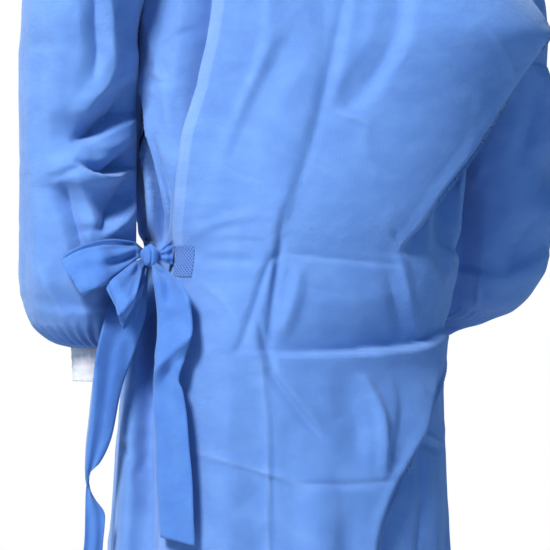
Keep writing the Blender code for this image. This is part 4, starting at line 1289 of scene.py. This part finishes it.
def make_neck_band(finish):
    """The bound neck edge, a narrow standing band just above the panels."""
    angles = np.linspace(NECK_BAND_START, NECK_BAND_START + NECK_BAND_TURN, NECK_BAND_COUNT)
    top = body_point(angles, BODY_TOP)
    rise = np.linspace(SEAM_GAP, NECK_BAND_HEIGHT, 13)
    around = np.radians(angles)
    outward = np.stack((np.sin(around), np.cos(around), np.zeros(around.shape)), axis=-1)
    roundness = 0.7 * np.sin(np.pi * (rise - SEAM_GAP) / (NECK_BAND_HEIGHT - SEAM_GAP))
    pucker = 0.25 * np.sin(around * 61.0) * np.sin(np.pi * rise / NECK_BAND_HEIGHT)[:, None]
    points = top[None, :] + rise[:, None, None] * UP + outward * (roundness[:, None] + pucker)[..., None]
    return cloth("neck_binding_cloth", points, CLOTH_THICKNESS, finish)


class Nodes:
    """Short calls to build one material's node tree."""

    def __init__(self, name):
        self.material = bpy.data.materials.new(name)
        self.material.use_nodes = True
        self.tree = self.material.node_tree
        self.shader = self.tree.nodes["Principled BSDF"]

    def add(self, kind, **settings):
        node = self.tree.nodes.new(kind)
        for key, value in settings.items():
            setattr(node, key, value)
        return node

    def join(self, source, target):
        self.tree.links.new(source, target)

    def fill(self, socket, value):
        if isinstance(value, bpy.types.NodeSocket):
            self.join(value, socket)
        else:
            socket.default_value = value

    def maths(self, operation, first, second=0.0, third=0.0):
        node = self.add("ShaderNodeMath", operation=operation)
        for socket, value in zip(node.inputs, (first, second, third)):
            self.fill(socket, value)
        return node.outputs[0]

    def range(self, value, low, high, new_low, new_high):
        node = self.add("ShaderNodeMapRange", interpolation_type="SMOOTHSTEP")
        for socket, given in zip(node.inputs, (value, low, high, new_low, new_high)):
            self.fill(socket, given)
        return node.outputs[0]

    def mix(self, share, first, second):
        node = self.add("ShaderNodeMix", data_type="RGBA")
        for name, value in (("Factor_Float", share), ("A_Color", first), ("B_Color", second)):
            self.fill(next(socket for socket in node.inputs if socket.identifier == name), value)
        return next(socket for socket in node.outputs if socket.identifier == "Result_Color")

    def noise(self, place, scale, detail=3.0, roughness=0.55):
        node = self.add("ShaderNodeTexNoise")
        self.join(place, node.inputs["Vector"])
        node.inputs["Scale"].default_value = scale
        node.inputs["Detail"].default_value = detail
        node.inputs["Roughness"].default_value = roughness
        return node.outputs["Fac"]

    def ridges(self, place, scale):
        """Sharp branching ridges, like the fine creases of handled paper."""
        node = self.add("ShaderNodeTexNoise", noise_type="RIDGED_MULTIFRACTAL")
        self.join(place, node.inputs["Vector"])
        for name, value in (("Scale", scale), ("Detail", 3.0), ("Roughness", 0.5), ("Lacunarity", 2.2), ("Gain", 1.6)):
            node.inputs[name].default_value = value
        return node.outputs["Fac"]

    def dots(self, place, pitch, turned=45.0):
        """Distance from the nearest dot of a diagonal grid, as a share of its pitch."""
        mapping = self.add("ShaderNodeMapping")
        mapping.inputs["Rotation"].default_value = (0.0, 0.0, np.radians(turned))
        self.join(place, mapping.inputs["Vector"])
        cells = self.add("ShaderNodeTexVoronoi", voronoi_dimensions="2D", feature="F1")
        cells.inputs["Scale"].default_value = 1.0 / (pitch * MM)
        cells.inputs["Randomness"].default_value = 0.0
        self.join(mapping.outputs[0], cells.inputs["Vector"])
        return cells.outputs["Distance"]

    def cloth_place(self):
        return self.add("ShaderNodeUVMap", uv_map="cloth").outputs[0]

    def mark(self, name):
        return self.add("ShaderNodeAttribute", attribute_name=name).outputs["Fac"]

    def bump(self, height, distance, strength=1.0, under=None):
        node = self.add("ShaderNodeBump")
        node.inputs["Strength"].default_value = strength
        node.inputs["Distance"].default_value = distance * MM
        self.join(height, node.inputs["Height"])
        if under is not None:
            self.join(under, node.inputs["Normal"])
        return node.outputs[0]


def nonwoven(name, colour, pale, deep, has_marks=True):
    """Spunbond cloth: a fine diagonal grid of weld dots, cloudy fibres, small crinkles, and crease crests made paler,
    partly as stress whitening and partly as a painted highlight.
    """
    nodes = Nodes(name)
    place = nodes.cloth_place()
    dot = nodes.dots(place, DOT_PITCH)
    cloud = nodes.noise(place, 30.0, 5.0, 0.6)
    fibre = nodes.noise(place, 900.0, 2.0, 0.6)
    shade = nodes.mix(nodes.range(cloud, 0.35, 0.68, 0.0, 1.0), deep, colour)
    shade = nodes.mix(nodes.maths("MULTIPLY", nodes.range(fibre, 0.5, 0.8, 0.0, 1.0), 0.32), shade, pale)
    shade = nodes.mix(nodes.maths("MULTIPLY", nodes.range(dot, 0.2, 0.42, 1.0, 0.0), 0.5), shade, deep)
    crinkle = nodes.ridges(place, 14.0)
    fine = nodes.noise(place, 200.0, 4.0, 0.65)
    crumple = nodes.noise(place, 55.0, 3.0, 0.6)
    normal = nodes.bump(crinkle, 3.2, 0.7)
    normal = nodes.bump(crumple, 2.2, 0.6, under=normal)
    normal = nodes.bump(fine, 1.0, 0.8, under=normal)
    normal = nodes.bump(nodes.range(dot, 0.12, 0.5, 0.0, 1.0), 0.3, 1.0, under=normal)
    if has_marks:
        # Crease crests mixed toward the pale colour: partly stress whitening, partly a painted highlight.
        whitened_and_highlit = nodes.mark("whitened_and_highlit")
        shade = nodes.mix(nodes.maths("MULTIPLY", whitened_and_highlit, 0.4), shade, pale)
        seam = nodes.mark("seam")
        hem = nodes.mark("hem")
        along = nodes.add("ShaderNodeSeparateXYZ")
        nodes.join(place, along.inputs[0])
        stitch = nodes.range(nodes.maths("SINE", nodes.maths("MULTIPLY", along.outputs[1], 1800.0)), -0.2, 0.4, 0.0, 1.0)
        seam_line = nodes.range(nodes.maths("ABSOLUTE", nodes.maths("SUBTRACT", seam, 5.0)), 0.3, 1.6, 1.0, 0.0)
        hem_line = nodes.range(nodes.maths("ABSOLUTE", nodes.maths("SUBTRACT", hem, 15.0)), 0.3, 1.8, 0.3, 0.0)
        doubled = nodes.range(hem, 14.0, 16.0, 0.3, 0.0)
        shade = nodes.mix(doubled, shade, pale)
        line = nodes.maths("MAXIMUM", nodes.maths("MULTIPLY", seam_line, stitch), hem_line)
        shade = nodes.mix(nodes.maths("MULTIPLY", line, 0.35), shade, deep)
        normal = nodes.bump(nodes.maths("MULTIPLY", line, -1.0), 0.4, 0.7, under=normal)
    nodes.join(shade, nodes.shader.inputs["Base Color"])
    nodes.join(normal, nodes.shader.inputs["Normal"])
    nodes.join(nodes.range(cloud, 0.3, 0.7, 0.68, 0.78), nodes.shader.inputs["Roughness"])
    nodes.shader.inputs["Sheen Weight"].default_value = 0.45
    nodes.shader.inputs["Sheen Roughness"].default_value = 0.5
    nodes.shader.inputs["Sheen Tint"].default_value = (0.75, 0.86, 1.0, 1.0)
    nodes.shader.inputs["Specular IOR Level"].default_value = 0.45
    return nodes


def gown_cloth():
    return nonwoven("gown_sms", (0.170, 0.315, 0.620, 1.0), (0.350, 0.480, 0.740, 1.0), (0.138, 0.272, 0.580, 1.0)).material


def tie_cloth():
    return nonwoven(
        "tie_sms", (0.110, 0.255, 0.575, 1.0), (0.270, 0.420, 0.710, 1.0), (0.086, 0.215, 0.540, 1.0), has_marks=False
    ).material


def weld_cloth():
    """The tie's cloth where it is welded on: a grid of sunken dots."""
    nodes = nonwoven(
        "tie_weld_sms", (0.170, 0.325, 0.640, 1.0), (0.350, 0.480, 0.740, 1.0), (0.138, 0.272, 0.580, 1.0), has_marks=False
    )
    dot = nodes.range(nodes.dots(nodes.cloth_place(), 3.2), 0.2, 0.36, 0.0, 1.0)
    before = nodes.shader.inputs["Normal"].links[0].from_socket
    nodes.join(nodes.bump(dot, 0.9, 1.0, under=before), nodes.shader.inputs["Normal"])
    shade = nodes.shader.inputs["Base Color"].links[0].from_socket
    nodes.join(nodes.mix(dot, (0.010, 0.060, 0.330, 1.0), shade), nodes.shader.inputs["Base Color"])
    return nodes.material


def cuff_knit():
    """White rib knit with soft cross bands, and painted shade between its loops."""
    nodes = Nodes("cuff_knit")
    place = nodes.cloth_place()
    along = nodes.add("ShaderNodeSeparateXYZ")
    nodes.join(place, along.inputs[0])
    course = nodes.maths("SINE", nodes.maths("MULTIPLY", along.outputs[1], 4200.0))
    wale = nodes.maths("ABSOLUTE", nodes.maths("SINE", nodes.maths("MULTIPLY", along.outputs[0], 2600.0)))
    loops = nodes.maths("MULTIPLY", nodes.range(course, -1.0, 1.0, 0.0, 1.0), wale)
    tone = nodes.noise(place, 60.0, 4.0)
    shade = nodes.mix(nodes.range(tone, 0.3, 0.7, 0.0, 1.0), (0.74, 0.74, 0.77, 1.0), (0.86, 0.86, 0.88, 1.0))
    # Painted shade: a darker grey in the gaps between the knit loops.
    shade = nodes.mix(nodes.range(loops, 0.0, 0.4, 0.35, 0.0), shade, (0.56, 0.56, 0.62, 1.0))
    nodes.join(shade, nodes.shader.inputs["Base Color"])
    normal = nodes.bump(loops, 0.5, 0.9)
    nodes.join(nodes.bump(nodes.noise(place, 700.0, 2.0), 0.2, 0.6, under=normal), nodes.shader.inputs["Normal"])
    nodes.join(nodes.range(tone, 0.3, 0.7, 0.85, 0.97), nodes.shader.inputs["Roughness"])
    nodes.shader.inputs["Sheen Weight"].default_value = 0.3
    return nodes.material


def tab_loop():
    """Brushed white hook-and-loop tape."""
    nodes = Nodes("tab_loop")
    place = nodes.cloth_place()
    pile = nodes.noise(place, 1100.0, 4.0, 0.7)
    soft = nodes.noise(place, 180.0, 3.0)
    shade = nodes.mix(nodes.range(pile, 0.35, 0.65, 0.0, 1.0), (0.60, 0.66, 0.74, 1.0), (0.84, 0.86, 0.90, 1.0))
    nodes.join(shade, nodes.shader.inputs["Base Color"])
    normal = nodes.bump(pile, 0.9, 1.0)
    nodes.join(nodes.bump(soft, 0.8, 0.6, under=normal), nodes.shader.inputs["Normal"])
    nodes.join(nodes.range(pile, 0.3, 0.7, 0.8, 0.98), nodes.shader.inputs["Roughness"])
    nodes.shader.inputs["Sheen Weight"].default_value = 0.4
    return nodes.material


def make_gown():
    """All pieces of the gown, each in its node's place."""
    levels = body_levels()
    gown, tie, weld, knit = gown_cloth(), tie_cloth(), weld_cloth(), cuff_knit()
    declare(make_back_right(levels, gown), "back_right")
    declare(make_back_left(levels, gown), "back_left")
    declare(make_front(levels, gown), "front")
    for side in SLEEVES:
        declare(make_sleeve(side, gown), f"sleeve_{side}")
        declare(make_cuff(side, knit), f"cuff_{side}")
    declare(make_neck_band(gown), "neck_binding")
    declare(make_neck_tab(tab_loop()), "neck_tab")
    declare(make_weld("tie_weld_back", weld), "tie_weld_back")
    declare(make_weld("tie_weld_front", weld), "tie_weld_front")
    flats = {
        "tie_loop_upper": (0.05, 0.21), "tie_loop_lower": (0.05, 0.13), "tie_tail_left": (0.04, 0.41),
        "tie_tail_right": (0.05, 0.35), "tie_back_run": (0.026, 0.016),
    }
    for name, flat in flats.items():
        declare(make_ribbon(name, tie), name)
    declare(make_front_run(tie), "tie_front_run")
    declare(make_knot(tie), "tie_knot")


def make_floor():
    """A plain pale floor well below the hem."""
    bpy.ops.mesh.primitive_circle_add(vertices=128, radius=4.0, fill_type="NGON", location=(0.0, 0.0, -1.42))
    floor = bpy.context.active_object
    floor.name = "floor"
    nodes = Nodes("pale_floor")
    nodes.shader.inputs["Base Color"].default_value = (0.74, 0.74, 0.75, 1.0)
    nodes.shader.inputs["Roughness"].default_value = 0.7
    floor.data.materials.append(nodes.material)


def area_light(name, across, level, toward, size, watts, tint=(1.0, 1.0, 1.0)):
    """A soft square light placed in the reference view, in metres, which points at the gown's middle."""
    data = bpy.data.lights.new(name, "AREA")
    data.size = size
    data.energy = watts
    data.color = tint
    lamp = bpy.data.objects.new(name, data)
    bpy.context.scene.collection.objects.link(lamp)
    place = across * VIEW_RIGHT + toward * VIEW_TOWARD + level * UP
    aim = np.array((0.0, 0.0, VIEW_AIM_LEVEL * MM))
    lamp.location = place
    lamp.rotation_mode = "QUATERNION"
    lamp.rotation_quaternion = look(aim - place)


def look(direction):
    """The turn that points a camera or light along a direction."""
    return Vector(direction).to_track_quat("-Z", "Y")


def make_light():
    """Two large soft lights, a light on the gown's front side and a white surround."""
    area_light("key", -1.6, 2.1, 2.7, 0.9, 238.0, (1.0, 0.95, 0.89))
    area_light("fill", 1.4, 0.2, 2.8, 1.6, 12.0, (0.50, 0.78, 1.0))
    area_light("front", -0.6, 0.6, -2.4, 1.4, 34.0, (0.80, 0.90, 1.0))
    world = bpy.data.worlds.new("white_surround")
    bpy.context.scene.world = world
    world.use_nodes = True
    tree = world.node_tree
    background = tree.nodes["Background"]
    background.inputs["Color"].default_value = (0.30, 0.62, 1.0, 1.0)
    background.inputs["Strength"].default_value = 0.42
    shown = tree.nodes.new("ShaderNodeBackground")
    shown.inputs["Color"].default_value = (1.0, 1.0, 1.0, 1.0)
    path = tree.nodes.new("ShaderNodeLightPath")
    mix = tree.nodes.new("ShaderNodeMixShader")
    tree.links.new(path.outputs["Is Camera Ray"], mix.inputs[0])
    tree.links.new(background.outputs[0], mix.inputs[1])
    tree.links.new(shown.outputs[0], mix.inputs[2])
    tree.links.new(mix.outputs[0], tree.nodes["World Output"].inputs["Surface"])


def make_camera():
    """The reference view's camera."""
    data = bpy.data.cameras.new("camera")
    data.lens = LENS
    data.sensor_width = SENSOR
    camera = bpy.data.objects.new("camera", data)
    bpy.context.scene.collection.objects.link(camera)
    target = VIEW_AIM_ACROSS * VIEW_RIGHT + VIEW_AIM_LEVEL * UP
    camera.location = (target + VIEW_DISTANCE * VIEW_TOWARD) * MM
    camera.rotation_mode = "QUATERNION"
    camera.rotation_quaternion = look(-VIEW_TOWARD)
    bpy.context.scene.camera = camera


def main():
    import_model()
    bpy.context.scene.view_settings.view_transform = "Standard"
    bpy.context.scene.view_settings.gamma = VIEW_GAMMA
    make_gown()
    make_floor()
    make_light()
    make_camera()


main()
